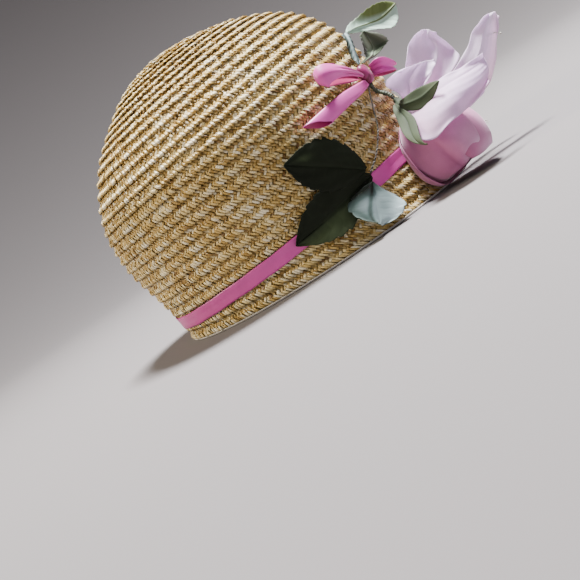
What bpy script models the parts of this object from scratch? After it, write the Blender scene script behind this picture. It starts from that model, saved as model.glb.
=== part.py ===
"""Straw cloche hat with a ribbon band, a bow, a fabric rose and leaves.

Metres, +Z up. The origin is the centre of the head opening, in the plane of the rim.
The front of the hat is -Y and the wearer's right, where the trimmings are, is -X.
The hat rests on its rim, as it does on a table.
"""

import math

import bmesh
import bpy
import numpy as np

# Hat body
RIM_LENGTH = 0.2112
RIM_WIDTH = 0.1714
BAND_LENGTH = 0.1965
BAND_WIDTH = 0.1632
CROWN_SETBACK = 0.0084
HAT_HEIGHT = 0.1630
BRIM_BACK = 0.0142
BRIM_FRONT = 0.0325
BRIM_HOLLOW = 0.25
CROWN_ARC = 0.1908
CROWN_ROWS = 27
BRIM_ROWS = 4
STRAW_WALL = 0.0020
ROW_STEP = 0.0009
RIM_LIFT = 0.0008
TAPE_HEIGHT = 0.0090
TAPE_WALL = 0.0010
SIDES = 40
GAP = 0.0003

# Ribbon
RIBBON_THICKNESS = 0.0010
HATBAND_WIDTH = 0.0094
BOW_RIBBON = 0.0104
BOW_REACH = 0.0340
BOW_TAIL = 0.0460
KNOT_ANGLE = math.radians(32.5)
KNOT_CLIMB = 0.0490
KNOT_LENGTH = 0.0085
KNOT_HEIGHT = 0.0120
KNOT_DEPTH = 0.0060

# Stems
ROSE_STEM = 0.0026
STEM_ASIDE = 0.0020
LEAF_WIRE = 0.0012
WIRE_STANDOFF = 0.0030

# Rose
CLOTH = 0.0010
BUD_LENGTH = 0.0510
BUD_RADIUS = 0.0250
BUD_CLEARANCE = 0.0020
BUD_FLATTEN = 0.25
BUD_FLAT_ANGLE = math.radians(61)
CALYX_ANGLE = math.radians(35.5)
CALYX_CLIMB = 0.0244
CALYX_STANDOFF = 0.0126
CALYX_LENGTH = 0.0090
CALYX_RADIUS = 0.0046
MOUTH_ANGLE = math.radians(41.0)
MOUTH_HEIGHT = 0.0140

# Leaves
LEAF_ANGLE = math.radians(60.5)
LEAF_CLIMB = 0.0070
UPPER_LEAF = 0.0465
LOWER_LEAF = 0.0585
CURLED_LEAF = 0.0300
TOP_LEAF = 0.0300

# Crown sections from the band line to the top, all as shares.
# Columns: climb (of CROWN_ARC), back reach and front reach (of half BAND_LENGTH),
# back height and front height (of the rise from the band line to HAT_HEIGHT),
# half width (of half BAND_WIDTH).
CROWN_SECTIONS = np.array([
    [0.000, 1.000, 1.000, 0.000, 0.000, 1.000],
    [0.123, 1.048, 0.995, 0.142, 0.185, 1.028],
    [0.278, 1.104, 0.960, 0.325, 0.425, 1.047],
    [0.433, 1.077, 0.877, 0.518, 0.650, 1.000],
    [0.588, 0.916, 0.701, 0.715, 0.821, 0.833],
    [0.742, 0.693, 0.411, 0.851, 0.933, 0.582],
    [0.876, 0.466, 0.087, 0.947, 0.986, 0.311],
    [1.000, 0.194, -0.194, 1.000, 1.000, 0.000],
])

# Ribbon runs of the bow. Columns: two edges of the ribbon, each as around to the back, up and
# out from the knot, as shares of the piece's length.
LEFT_LOOP = np.array([
    [0.138, 0.05, 0.12, 0.140, -0.01, 0.09],
    [0.41, 0.24, 0.23, 0.51, 0.13, 0.21],
    [0.64, 0.41, 0.29, 0.74, 0.22, 0.26],
    [0.82, 0.54, 0.30, 0.91, 0.25, 0.27],
    [0.95, 0.59, 0.25, 1.00, 0.24, 0.25],
    [1.03, 0.54, 0.16, 1.00, 0.22, 0.19],
    [0.95, 0.48, 0.10, 0.91, 0.21, 0.14],
    [0.70, 0.38, 0.08, 0.69, 0.14, 0.10],
    [0.41, 0.22, 0.06, 0.43, 0.05, 0.08],
    [0.138, 0.06, 0.05, 0.138, -0.02, 0.05],
])
RIGHT_LOOP = np.array([
    [-0.14, 0.08, 0.17, -0.14, -0.12, 0.13],
    [-0.18, 0.09, 0.34, -0.16, -0.17, 0.27],
    [-0.27, 0.02, 0.43, -0.22, -0.22, 0.35],
    [-0.41, -0.12, 0.45, -0.33, -0.27, 0.38],
    [-0.54, -0.22, 0.40, -0.46, -0.30, 0.36],
    [-0.60, -0.17, 0.30, -0.52, -0.30, 0.26],
    [-0.57, -0.08, 0.20, -0.45, -0.25, 0.15],
    [-0.40, 0.00, 0.12, -0.32, -0.19, 0.09],
    [-0.145, 0.03, 0.08, -0.145, -0.11, 0.07],
])
TAIL = np.array([
    [0.100, -0.040, 0.055, 0.095, -0.130, 0.055],
    [0.300, -0.020, 0.055, 0.250, -0.150, 0.055],
    [0.580, 0.020, 0.060, 0.490, -0.130, 0.060],
    [0.940, 0.020, 0.070, 0.840, -0.150, 0.070],
    [1.240, 0.020, 0.075, 1.040, -0.160, 0.080],
])

# Leaf outlines. Columns: place along the leaf, half width above and below the midrib and
# lift off the hat, as shares of the leaf's length.
UPPER_OUTLINE = np.array([
    [0.00, 0.03, 0.03, 0.090],
    [0.12, 0.16, 0.15, 0.092],
    [0.35, 0.30, 0.27, 0.098],
    [0.60, 0.33, 0.29, 0.100],
    [0.80, 0.23, 0.21, 0.092],
    [0.93, 0.10, 0.09, 0.085],
    [1.00, 0.015, 0.015, 0.085],
])
LOWER_OUTLINE = np.array([
    [0.00, 0.025, 0.025, 0.040],
    [0.12, 0.12, 0.12, 0.042],
    [0.35, 0.21, 0.24, 0.046],
    [0.60, 0.23, 0.29, 0.052],
    [0.80, 0.17, 0.20, 0.050],
    [0.93, 0.08, 0.08, 0.046],
    [1.00, 0.012, 0.012, 0.046],
])
CURLED_OUTLINE = np.array([
    [0.00, 0.05, 0.05, 0.130],
    [0.15, 0.25, 0.22, 0.150],
    [0.40, 0.44, 0.42, 0.190],
    [0.65, 0.44, 0.44, 0.230],
    [0.88, 0.28, 0.30, 0.260],
    [1.00, 0.06, 0.06, 0.270],
])

# Leaves above the bow. Columns as for the bow's ribbon runs, and how far the blade bulges.
LARGE_TOP_LEAF = np.array([
    [-0.56, 0.90, 0.07, -0.58, 0.83, 0.11, 0.00],
    [-0.76, 0.98, 0.15, -0.83, 0.70, 0.23, 0.04],
    [-1.01, 0.98, 0.26, -1.09, 0.52, 0.41, 0.06],
    [-1.31, 0.97, 0.43, -1.36, 0.34, 0.53, 0.06],
    [-1.60, 0.91, 0.58, -1.61, 0.39, 0.63, 0.04],
    [-1.83, 0.79, 0.72, -1.80, 0.56, 0.73, 0.00],
])
NARROW_TOP_LEAF = np.array([
    [-0.40, 0.90, 0.04, -0.53, 0.88, 0.11, 0.00],
    [-0.31, 0.76, 0.06, -0.44, 0.72, 0.12, 0.03],
    [-0.21, 0.60, 0.06, -0.35, 0.53, 0.12, 0.03],
    [-0.11, 0.41, 0.06, -0.24, 0.34, 0.11, 0.02],
    [-0.03, 0.225, 0.08, -0.11, 0.215, 0.10, 0.00],
])
CURLED_TOP_LEAF = np.array([
    [-0.07, 0.220, 0.13, -0.13, 0.190, 0.14, 0.00],
    [-0.35, 0.25, 0.20, -0.60, 0.14, 0.26, 0.03],
    [-0.39, 0.34, 0.20, -0.98, 0.17, 0.33, 0.10],
    [-0.48, 0.45, 0.20, -1.15, 0.22, 0.38, 0.14],
    [-0.58, 0.60, 0.22, -1.06, 0.43, 0.38, 0.10],
    [-0.70, 0.70, 0.25, -0.84, 0.63, 0.32, 0.00],
])

# Wire from the knot to the lower leaves. Columns: share of the way around, share of the way
# down and standoff as a share of WIRE_STANDOFF.
WIRE_ROUTE = np.array([
    [0.00, 0.00, 0.85],
    [0.08, 0.17, 0.85],
    [0.31, 0.57, 1.00],
    [0.46, 0.74, 0.90],
    [0.68, 0.89, 1.00],
    [1.00, 1.00, 1.25],
])

# Rose petals and sepals. Columns: two edges, each as along the rose, out from the hat and to
# the side, and how far the petal cups, as shares of BUD_LENGTH.
FRONT_PETAL = np.array([
    [0.05, 0.081, 0.068, 0.05, 0.000, 0.106, 0.00],
    [0.20, 0.31, 0.02, 0.52, 0.10, 0.45, -0.06],
    [0.25, 0.50, -0.02, 0.72, 0.22, 0.46, -0.10],
    [0.33, 0.69, -0.13, 0.73, 0.46, 0.25, -0.09],
    [0.38, 0.83, -0.28, 0.73, 0.65, -0.06, -0.06],
    [0.39, 0.90, -0.46, 0.65, 0.79, -0.33, -0.02],
])
TALL_PETAL = np.array([
    [0.06, 0.094, -0.049, 0.06, 0.036, -0.100, 0.00],
    [0.18, 0.36, -0.33, 0.46, 0.22, -0.62, -0.03],
    [0.14, 0.52, -0.58, 0.51, 0.39, -0.92, -0.06],
    [0.09, 0.66, -0.79, 0.39, 0.59, -1.12, -0.06],
    [0.02, 0.80, -0.97, 0.25, 0.78, -1.25, -0.05],
    [0.00, 0.93, -1.13, 0.13, 0.92, -1.31, -0.02],
    [-0.01, 0.99, -1.21, 0.04, 1.00, -1.28, 0.00],
])
UPPER_PETAL = np.array([
    [-0.02, 0.068, -0.068, -0.02, 0.023, -0.093, 0.00],
    [-0.05, 0.110, -0.160, 0.02, 0.090, -0.240, 0.00],
    [-0.12, 0.16, -0.26, 0.10, 0.19, -0.52, 0.03],
    [-0.27, 0.28, -0.42, 0.02, 0.37, -0.86, 0.06],
    [-0.40, 0.37, -0.52, -0.13, 0.44, -0.90, 0.05],
    [-0.47, 0.45, -0.61, -0.33, 0.49, -0.83, 0.03],
    [-0.49, 0.53, -0.69, -0.40, 0.54, -0.82, 0.00],
])
LEFT_PETAL = np.array([
    [0.03, 0.094, 0.052, 0.05, 0.103, -0.028, 0.00],
    [-0.05, 0.17, 0.13, 0.10, 0.25, -0.06, 0.02],
    [-0.19, 0.20, 0.21, 0.03, 0.38, -0.16, 0.05],
    [-0.28, 0.32, 0.09, -0.07, 0.46, -0.29, 0.05],
    [-0.28, 0.43, -0.09, -0.17, 0.51, -0.37, 0.02],
])
BACK_PETAL = np.array([
    [0.05, -0.092, -0.053, 0.05, -0.018, -0.104, 0.00],
    [0.28, -0.24, -0.48, 0.14, 0.02, -0.58, -0.03],
    [0.39, -0.20, -0.86, 0.17, 0.13, -0.96, -0.06],
    [0.42, 0.02, -1.17, 0.27, 0.24, -1.20, -0.05],
    [0.37, 0.25, -1.29, 0.26, 0.37, -1.25, 0.00],
])
UPPER_SEPAL = np.array([
    [-0.03, 0.060, 0.075, -0.02, 0.046, 0.084, 0.00],
    [0.06, 0.150, 0.200, 0.09, 0.130, 0.215, 0.00],
    [0.20, 0.380, 0.200, 0.29, 0.380, 0.215, 0.00],
    [0.26, 0.510, 0.175, 0.32, 0.510, 0.175, 0.00],
    [0.31, 0.610, 0.155, 0.34, 0.610, 0.150, 0.00],
])
LOWER_SEPAL = np.array([
    [-0.03, -0.015, 0.096, -0.02, 0.021, 0.094, 0.00],
    [0.06, 0.000, 0.190, 0.09, 0.070, 0.190, 0.00],
    [0.20, 0.040, 0.310, 0.28, 0.140, 0.315, 0.00],
    [0.36, 0.060, 0.470, 0.51, 0.150, 0.500, 0.00],
    [0.53, 0.080, 0.560, 0.62, 0.180, 0.580, 0.00],
    [0.70, 0.180, 0.590, 0.71, 0.220, 0.590, 0.00],
])

# Bud petals wrapped round the bud. Columns: place along the bud, radius as a share of
# BUD_RADIUS, and width as a share of the full wrap.
BUD_WRAP = np.array([
    [0.09, 0.23, 0.60],
    [0.20, 0.52, 0.80],
    [0.35, 0.80, 0.98],
    [0.55, 0.95, 1.00],
    [0.75, 1.00, 1.00],
    [0.92, 0.98, 0.96],
    [1.00, 0.93, 0.85],
])
# Bud core. Columns: place along the bud and radius as a share of BUD_RADIUS.
BUD_CORE = np.array([
    [0.086, 0.12],
    [0.16, 0.25],
    [0.30, 0.45],
    [0.50, 0.58],
    [0.70, 0.58],
    [0.85, 0.44],
    [0.95, 0.24],
])
# Calyx bell. Columns: place along the bell and radius as a share of CALYX_RADIUS.
CALYX_BELL = np.array([
    [0.00, 0.34],
    [0.25, 0.50],
    [0.55, 0.90],
    [0.80, 1.00],
    [1.00, 0.92],
])


def read_table(table, position):
    """Values of a table at a position in its first column, on a smooth curve."""
    places = table[:, 0]
    values = table[:, 1:]
    last = len(places) - 1
    row = int(np.clip(np.searchsorted(places, position, side="right") - 1, 0, last - 1))
    step = places[row + 1] - places[row]
    share = (position - places[row]) / step

    def slope(at):
        before = max(at - 1, 0)
        after = min(at + 1, last)
        return (values[after] - values[before]) / (places[after] - places[before]) * step

    cubic = share ** 3
    square = share ** 2
    return ((2 * cubic - 3 * square + 1) * values[row]
            + (cubic - 2 * square + share) * slope(row)
            + (3 * square - 2 * cubic) * values[row + 1]
            + (cubic - square) * slope(row + 1))


def oval(back, front, half_width, angle):
    """Point of an oval ring through a back point and a front point, each (reach, height)."""
    back = np.array(back)
    front = np.array(front)
    middle = (back + front) / 2
    reach, height = middle + (front - back) / 2 * math.cos(angle)
    return np.array([-half_width * math.sin(angle), -reach, height])


def crown_point(climb, angle):
    """Point on the crown, climb metres above the band line up the side."""
    share = np.clip(climb / CROWN_ARC, 0.0, 1.0)
    back, front, back_rise, front_rise, width = read_table(CROWN_SECTIONS, share)
    half = BAND_LENGTH / 2
    back_point = (-CROWN_SETBACK - back * half, BRIM_BACK + back_rise * (HAT_HEIGHT - BRIM_BACK))
    front_point = (-CROWN_SETBACK + front * half, BRIM_FRONT + front_rise * (HAT_HEIGHT - BRIM_FRONT))
    return oval(back_point, front_point, width * BAND_WIDTH / 2, angle)


def brim_depth(angle):
    """Height of the band line above the rim plane."""
    return (BRIM_FRONT + BRIM_BACK) / 2 + math.cos(angle) * (BRIM_FRONT - BRIM_BACK) / 2


def brim_point(height, angle, out=0.0):
    """Point on the brim at a height above the rim plane, moved level by out."""
    share = height / brim_depth(angle)
    closed = share * (1 + BRIM_HOLLOW * (1 - share))
    half_length = RIM_LENGTH / 2 + closed * (BAND_LENGTH - RIM_LENGTH) / 2
    half_width = RIM_WIDTH / 2 + closed * (BAND_WIDTH - RIM_WIDTH) / 2
    outward = np.array([-math.sin(angle) / half_width, -math.cos(angle) / half_length, 0.0])
    outward /= np.linalg.norm(outward)
    centre = np.array([0.0, closed * CROWN_SETBACK, height])
    ring = np.array([-half_width * math.sin(angle), -half_length * math.cos(angle), 0.0])
    return centre + ring + out * outward


def wall_point(climb, angle):
    """Point on the hat's outside, above the band line on the crown and below it on the brim."""
    if climb >= 0:
        return crown_point(climb, angle)
    return brim_point(brim_depth(angle) + climb, angle)


def wall_frame(climb, angle):
    """Point on the hat's outside with its directions: around to the back, up, and out."""
    small = 0.0005
    point = wall_point(climb, angle)
    around = wall_point(climb, angle + small) - wall_point(climb, angle - small)
    low = min(climb, CROWN_ARC - 0.002)
    up = wall_point(low + small, angle) - wall_point(low - small, angle)
    around /= np.linalg.norm(around)
    up -= around * np.dot(up, around)
    up /= np.linalg.norm(up)
    return point, around, up, np.cross(up, around)


def wall(climb, angle, out):
    """Point at a standoff from the hat's outside."""
    point, _, _, normal = wall_frame(climb, angle)
    return point + out * normal


def turns(count):
    """Evenly spaced angles round a ring, from the front."""
    return [2 * math.pi * step / count for step in range(count)]


collection = None


def start_scene():
    """Empty the scene and make the hat's collection."""
    global collection
    for old in list(bpy.data.objects):
        bpy.data.objects.remove(old, do_unlink=True)
    collection = bpy.data.collections.new("cloche_hat")
    bpy.context.scene.collection.children.link(collection)


def material(name, colour, roughness):
    made = bpy.data.materials.get(name)
    if made is None:
        made = bpy.data.materials.new(name)
        made.use_nodes = True
        shader = made.node_tree.nodes["Principled BSDF"]
        shader.inputs["Base Color"].default_value = (*colour, 1.0)
        shader.inputs["Roughness"].default_value = roughness
    return made


def add_piece(name, mesh_data, finish):
    """Put a bmesh in the scene as one named object with its faces pointing out."""
    bmesh.ops.recalc_face_normals(mesh_data, faces=mesh_data.faces)
    mesh = bpy.data.meshes.new(name)
    mesh_data.to_mesh(mesh)
    mesh_data.free()
    mesh.materials.append(material(*finish))
    mesh.shade_smooth()
    mesh.set_sharp_from_angle(angle=math.radians(40))
    piece = bpy.data.objects.new(name, mesh)
    collection.objects.link(piece)
    return piece


def loft(name, rings, finish, looped=False, start_pole=None, end_pole=None):
    """Closed solid through rings of the same number of points.

    The rings close on each other when looped, and otherwise end in poles or flat caps.
    """
    made = bmesh.new()
    rows = [[made.verts.new(point) for point in ring] for ring in rings]
    count = len(rows[0])
    pairs = list(zip(rows, rows[1:]))
    if looped:
        pairs.append((rows[-1], rows[0]))
    for low, high in pairs:
        for side in range(count):
            after = (side + 1) % count
            made.faces.new((low[side], low[after], high[after], high[side]))
    for pole, row in ((start_pole, rows[0]), (end_pole, rows[-1])):
        if looped:
            continue
        if pole is None:
            made.faces.new(row)
            continue
        tip = made.verts.new(pole)
        for side in range(count):
            made.faces.new((row[side], row[(side + 1) % count], tip))
    return add_piece(name, made, finish)


def thicken(name, grid, thickness, finish):
    """Closed solid of a thin sheet whose middle surface is a grid of points."""
    grid = np.array(grid)
    along = np.gradient(grid, axis=0)
    across = np.gradient(grid, axis=1)
    normals = np.cross(along, across)
    normals /= np.linalg.norm(normals, axis=2)[:, :, None]
    rows, columns = grid.shape[:2]
    made = bmesh.new()
    faces = []
    for side in (-0.5, 0.5):
        points = grid + normals * thickness * side
        faces.append([[made.verts.new(points[row, column]) for column in range(columns)]
                      for row in range(rows)])
    for layer in faces:
        for row in range(rows - 1):
            for column in range(columns - 1):
                made.faces.new((layer[row][column], layer[row][column + 1],
                                layer[row + 1][column + 1], layer[row + 1][column]))
    border = [(0, column) for column in range(columns - 1)]
    border += [(row, columns - 1) for row in range(rows - 1)]
    border += [(rows - 1, column) for column in range(columns - 1, 0, -1)]
    border += [(row, 0) for row in range(rows - 1, 0, -1)]
    for here, after in zip(border, border[1:] + border[:1]):
        made.faces.new((faces[0][here[0]][here[1]], faces[0][after[0]][after[1]],
                        faces[1][after[0]][after[1]], faces[1][here[0]][here[1]]))
    return add_piece(name, made, finish)


def tube(name, points, diameter, finish):
    """Wire or stem along a smooth run of points."""
    table = np.column_stack([np.linspace(0, 1, len(points)), np.array(points)])
    path = [read_table(table, share) for share in np.linspace(0, 1, 12)]
    data = bpy.data.curves.new(name, "CURVE")
    data.dimensions = "3D"
    data.bevel_depth = diameter / 2
    data.bevel_resolution = 2
    data.use_fill_caps = True
    spline = data.splines.new("POLY")
    spline.points.add(len(path) - 1)
    for place, point in zip(spline.points, path):
        place.co = (*point, 1.0)
    data.materials.append(material(*finish))
    piece = bpy.data.objects.new(name, data)
    collection.objects.link(piece)
    return piece


STRAW = ("straw", (0.66, 0.47, 0.22), 0.55)
TAPE = ("tape", (0.80, 0.77, 0.70), 0.80)
RIBBON = ("ribbon", (0.70, 0.15, 0.36), 0.45)
BUD = ("bud", (0.62, 0.24, 0.36), 0.70)
PALE = ("petal", (0.80, 0.66, 0.78), 0.65)
DARK_LEAF = ("dark_leaf", (0.035, 0.05, 0.028), 0.60)
PALE_LEAF = ("pale_leaf", (0.42, 0.62, 0.48), 0.65)
STEM = ("stem", (0.06, 0.12, 0.05), 0.60)
WIRE = ("wire", (0.20, 0.21, 0.17), 0.50)


def make_crown():
    """Crown of overlapping straw rows, each with its lower edge proud of the row below."""
    angles = turns(SIDES)
    start = GAP / 2
    climbs = np.linspace(start, CROWN_ARC, CROWN_ROWS + 1)
    rings = []
    for climb in np.linspace(0.98 * CROWN_ARC, start, 13):
        rings.append([wall(climb, angle, -STRAW_WALL) for angle in angles])
    for row in range(CROWN_ROWS):
        rings.append([wall(climbs[row], angle, 0.0) for angle in angles])
        if row < CROWN_ROWS - 1:
            rings.append([wall(climbs[row + 1], angle, -ROW_STEP) for angle in angles])
    top = np.array([0.0, wall_point(CROWN_ARC, 0.0)[1], HAT_HEIGHT])
    inside_top = top - np.array([0.0, 0.0, STRAW_WALL])
    loft("crown", rings, STRAW, start_pole=inside_top, end_pole=top)


def make_brim():
    """Brim of straw rows, deep at the front and shallow at the back."""
    angles = turns(SIDES)

    def ring(share, out):
        points = []
        for angle in angles:
            span = brim_depth(angle) - GAP / 2 - RIM_LIFT
            points.append(brim_point(RIM_LIFT + share * span, angle, out))
        return points

    rings = []
    for row in range(BRIM_ROWS):
        rings.append(ring(row / BRIM_ROWS, 0.0))
        rings.append(ring((row + 1) / BRIM_ROWS, -ROW_STEP))
    for share in (1.0, 0.66, 0.33, 0.0):
        rings.append(ring(share, -STRAW_WALL))
    loft("brim", rings, STRAW, looped=True)


def make_rim_tape():
    """Woven tape inside the rim, whose lower edge the hat rests on."""
    angles = turns(SIDES)
    outer = -STRAW_WALL - GAP
    inner = outer - TAPE_WALL
    corners = ((0.0, outer), (TAPE_HEIGHT, outer), (TAPE_HEIGHT, inner), (0.0, inner))
    rings = [[brim_point(height, angle, out) for angle in angles] for height, out in corners]
    loft("rim_tape", rings, TAPE, looped=True)


def make_hat_band():
    """Ribbon round the seam between crown and brim."""
    angles = turns(SIDES)
    inner = GAP
    outer = inner + RIBBON_THICKNESS
    half = HATBAND_WIDTH / 2
    corners = ((-half, inner), (0.0, inner), (half, inner), (half, outer), (0.0, outer), (-half, outer))
    rings = [[wall(climb, angle, out) for angle in angles] for climb, out in corners]
    loft("hat_band", rings, RIBBON, looped=True)


def knot_frame():
    """Place on the hat under the knot, with its directions as rows: around, up and out."""
    point, around, up, out = wall_frame(KNOT_CLIMB, KNOT_ANGLE)
    return point, np.array([around, up, out])


def turn_radius(climb, angle):
    """Metres around the hat for each radian of angle."""
    small = 0.01
    step = wall_point(climb, angle + small) - wall_point(climb, angle - small)
    return np.linalg.norm(step) / (2 * small)


def on_hat(climb, angle, around, up, out):
    """Point reached from a place on the hat by going around, up and out."""
    return wall(climb + up, angle + around / turn_radius(climb, angle), out)


def sheet_grid(table, rows, columns, place, unit):
    """Grid of points between the two edges that a table gives, cupped where it says so."""
    steps = np.linspace(0, 1, len(table))
    numbered = np.column_stack([steps, table])
    grid = []
    cups = []
    for share in np.linspace(0, 1, rows):
        values = read_table(numbered, share)
        left = place(values[0:3] * unit)
        right = place(values[3:6] * unit)
        cups.append(values[6] * unit if len(values) > 6 else 0.0)
        grid.append([left + (right - left) * across for across in np.linspace(0, 1, columns)])
    grid = np.array(grid)
    normals = np.cross(np.gradient(grid, axis=0), np.gradient(grid, axis=1))
    normals /= np.linalg.norm(normals, axis=2)[:, :, None]
    across = np.linspace(-1, 1, columns)
    bulge = np.array(cups)[:, None] * (1 - across ** 2)[None, :]
    return grid + normals * bulge[:, :, None]


def make_bow_knot():
    """Knot of folded ribbon that holds the bow and the stems to the crown."""
    centre, axes = knot_frame()
    levels = ((0.00, 0.80), (0.20, 1.00), (0.50, 1.06), (0.80, 0.92), (1.00, 0.60))
    rings = []
    for height, swell in levels:
        ring = []
        for angle in turns(12):
            across = math.copysign(abs(math.cos(angle)) ** 0.7, math.cos(angle))
            along = math.copysign(abs(math.sin(angle)) ** 0.7, math.sin(angle))
            local = np.array([swell * across * KNOT_LENGTH / 2, swell * along * KNOT_HEIGHT / 2,
                              GAP + height * KNOT_DEPTH])
            ring.append(centre + local @ axes)
        rings.append(ring)
    loft("bow_knot", rings, RIBBON)


def make_bow():
    """Two loops and one tail of ribbon beside the knot."""
    centre, axes = knot_frame()

    def follow_hat(local):
        return on_hat(KNOT_CLIMB, KNOT_ANGLE, *local)

    def stand_free(local):
        return centre + local @ axes

    runs = (("bow_loop_left", LEFT_LOOP, 19, follow_hat, BOW_REACH),
            ("bow_loop_right", RIGHT_LOOP, 17, stand_free, BOW_REACH),
            ("bow_tail", TAIL, 9, follow_hat, BOW_TAIL))
    for name, table, rows, place, unit in runs:
        grid = sheet_grid(table, rows, 3, place, unit)
        thicken(name, grid, RIBBON_THICKNESS, RIBBON)


def make_lower_leaves():
    """Three leaves that lie over the band, joined at the end of the wire."""
    leaves = (
        ("leaf_upper", UPPER_OUTLINE, UPPER_LEAF, (0.0020, 0.0020), 43.0, DARK_LEAF),
        ("leaf_lower", LOWER_OUTLINE, LOWER_LEAF, (0.0000, -0.0030), -4.0, DARK_LEAF),
        ("leaf_curled", CURLED_OUTLINE, CURLED_LEAF, (0.0005, -0.0035), -62.0, PALE_LEAF),
    )
    for name, outline, length, base, heading, finish in leaves:
        turn = math.radians(heading)
        ahead = np.array([math.cos(turn), math.sin(turn)])
        aside = np.array([-math.sin(turn), math.cos(turn)])
        grid = []
        for share in np.linspace(0, 1, 9):
            above, below, lift = read_table(outline, share)
            row = []
            for across in (1.0, 0.5, 0.0, -0.5, -1.0):
                half = above if across > 0 else below
                flat = np.array(base) + length * (share * ahead + across * half * aside)
                row.append(on_hat(LEAF_CLIMB, LEAF_ANGLE, flat[0], flat[1], lift * length))
            grid.append(row)
        thicken(name, grid, CLOTH, finish)


def make_top_leaves():
    """Three leaves that stand up behind the knot."""
    centre, axes = knot_frame()
    leaves = (("top_leaf_large", LARGE_TOP_LEAF, 9, PALE_LEAF),
              ("top_leaf_narrow", NARROW_TOP_LEAF, 7, PALE_LEAF),
              ("top_leaf_curled", CURLED_TOP_LEAF, 9, PALE_LEAF))
    for name, table, rows, finish in leaves:
        grid = sheet_grid(table, rows, 5, lambda local: centre + local @ axes, TOP_LEAF)
        thicken(name, grid, CLOTH, finish)


def rose_frame():
    """Base of the rose, with its directions as rows: along, out from the hat, and side."""
    base = wall(CALYX_CLIMB, CALYX_ANGLE, CALYX_STANDOFF)
    reach = BUD_RADIUS + BUD_CLEARANCE
    mouth = brim_point(MOUTH_HEIGHT, MOUTH_ANGLE, reach)
    level = mouth - brim_point(MOUTH_HEIGHT, MOUTH_ANGLE)
    along = (mouth - base) / np.linalg.norm(mouth - base)
    level /= np.linalg.norm(level)
    out = level - along * np.dot(level, along)
    out /= np.linalg.norm(out)
    return base, np.array([along, out, np.cross(along, out)])


def round_rose(along, radius, angle):
    """Point round the axis of the rose, on a bud that is a little flat on two sides."""
    base, axes = rose_frame()
    radius *= 1 - BUD_FLATTEN * math.cos(angle - BUD_FLAT_ANGLE) ** 2
    local = np.array([along, radius * math.cos(angle), radius * math.sin(angle)])
    return base + local @ axes


def calyx_rear():
    """Distance along the rose where the calyx bell starts, behind the base."""
    return BUD_CORE[0, 0] * BUD_LENGTH - GAP - CALYX_LENGTH


def make_calyx():
    """Green bell that the petals and sepals spring from."""
    base, axes = rose_frame()
    rings = []
    for share, radius in CALYX_BELL:
        ring = []
        for angle in turns(12):
            wide = radius * CALYX_RADIUS
            local = np.array([calyx_rear() + share * CALYX_LENGTH,
                              wide * math.cos(angle), wide * math.sin(angle)])
            ring.append(base + local @ axes)
        rings.append(ring)
    loft("rose_calyx", rings, STEM)


def make_bud():
    """Deep pink bud: a folded core and three petals wrapped round it."""
    rings = []
    for along, radius in BUD_CORE:
        ring = []
        for angle in turns(20):
            fold = 1 + 0.06 * math.cos(5 * angle + 4 * along)
            ring.append(round_rose(along * BUD_LENGTH, radius * BUD_RADIUS * fold, angle))
        rings.append(ring)
    loft("bud_core", rings, BUD, end_pole=round_rose(BUD_LENGTH, 0.0, 0.0))

    wrap = math.radians(140)
    tuck = 0.16
    for number in range(3):
        middle = math.radians(90 + 120 * number)
        grid = []
        for share in np.linspace(0, 1, 8):
            along = BUD_WRAP[0, 0] + share * (1 - BUD_WRAP[0, 0])
            radius, width = read_table(BUD_WRAP, along)
            row = []
            for across in np.linspace(-0.5, 0.5, 9):
                angle = middle + across * width * wrap
                spiral = 1 - tuck * (0.5 + across * width)
                row.append(round_rose(along * BUD_LENGTH, radius * BUD_RADIUS * spiral, angle))
            grid.append(row)
        thicken("bud_petal_%d" % (number + 1), grid, CLOTH, BUD)


def make_petals():
    """Pale outer petals and green sepals of the rose."""
    base, axes = rose_frame()
    sheets = (("petal_front", FRONT_PETAL, 9, 5, PALE),
              ("petal_tall", TALL_PETAL, 10, 5, PALE),
              ("petal_upper", UPPER_PETAL, 9, 5, PALE),
              ("petal_left", LEFT_PETAL, 8, 5, PALE),
              ("petal_back", BACK_PETAL, 8, 5, PALE),
              ("sepal_upper", UPPER_SEPAL, 6, 3, STEM),
              ("sepal_lower", LOWER_SEPAL, 7, 3, STEM))
    for name, table, rows, columns, finish in sheets:
        grid = sheet_grid(table, rows, columns, lambda local: base + local @ axes, BUD_LENGTH)
        thicken(name, grid, CLOTH, finish)


def make_stems():
    """Rose stem and leaf wire, both from the underside of the knot."""
    base, axes = rose_frame()
    below = -1.06 * KNOT_HEIGHT / 2 - GAP
    rear = base + axes[0] * (calyx_rear() - GAP)
    top = on_hat(KNOT_CLIMB, KNOT_ANGLE, STEM_ASIDE, below, ROSE_STEM)
    low = on_hat(KNOT_CLIMB, KNOT_ANGLE, 0.8 * STEM_ASIDE, below - 1.5 * ROSE_STEM, ROSE_STEM)
    back = rear - axes[0] * 1.5 * ROSE_STEM
    tube("rose_stem", (top, low, (low + back) / 2, back, rear), ROSE_STEM, STEM)

    aside = STEM_ASIDE + (ROSE_STEM + LEAF_WIRE) / 2 + GAP
    first = aside / turn_radius(KNOT_CLIMB, KNOT_ANGLE)
    around = LEAF_ANGLE - KNOT_ANGLE - first
    start = KNOT_CLIMB + below
    end = LEAF_CLIMB - LEAF_WIRE
    route = []
    for turn, drop, standoff in WIRE_ROUTE:
        angle = KNOT_ANGLE + first + turn * around
        route.append(wall(start + drop * (end - start), angle, standoff * WIRE_STANDOFF))
    tube("leaf_wire", route, LEAF_WIRE, WIRE)


def main():
    start_scene()
    make_crown()
    make_brim()
    make_rim_tape()
    make_hat_band()
    make_bow_knot()
    make_bow()
    make_stems()
    make_lower_leaves()
    make_top_leaves()
    make_calyx()
    make_bud()
    make_petals()


main()
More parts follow.
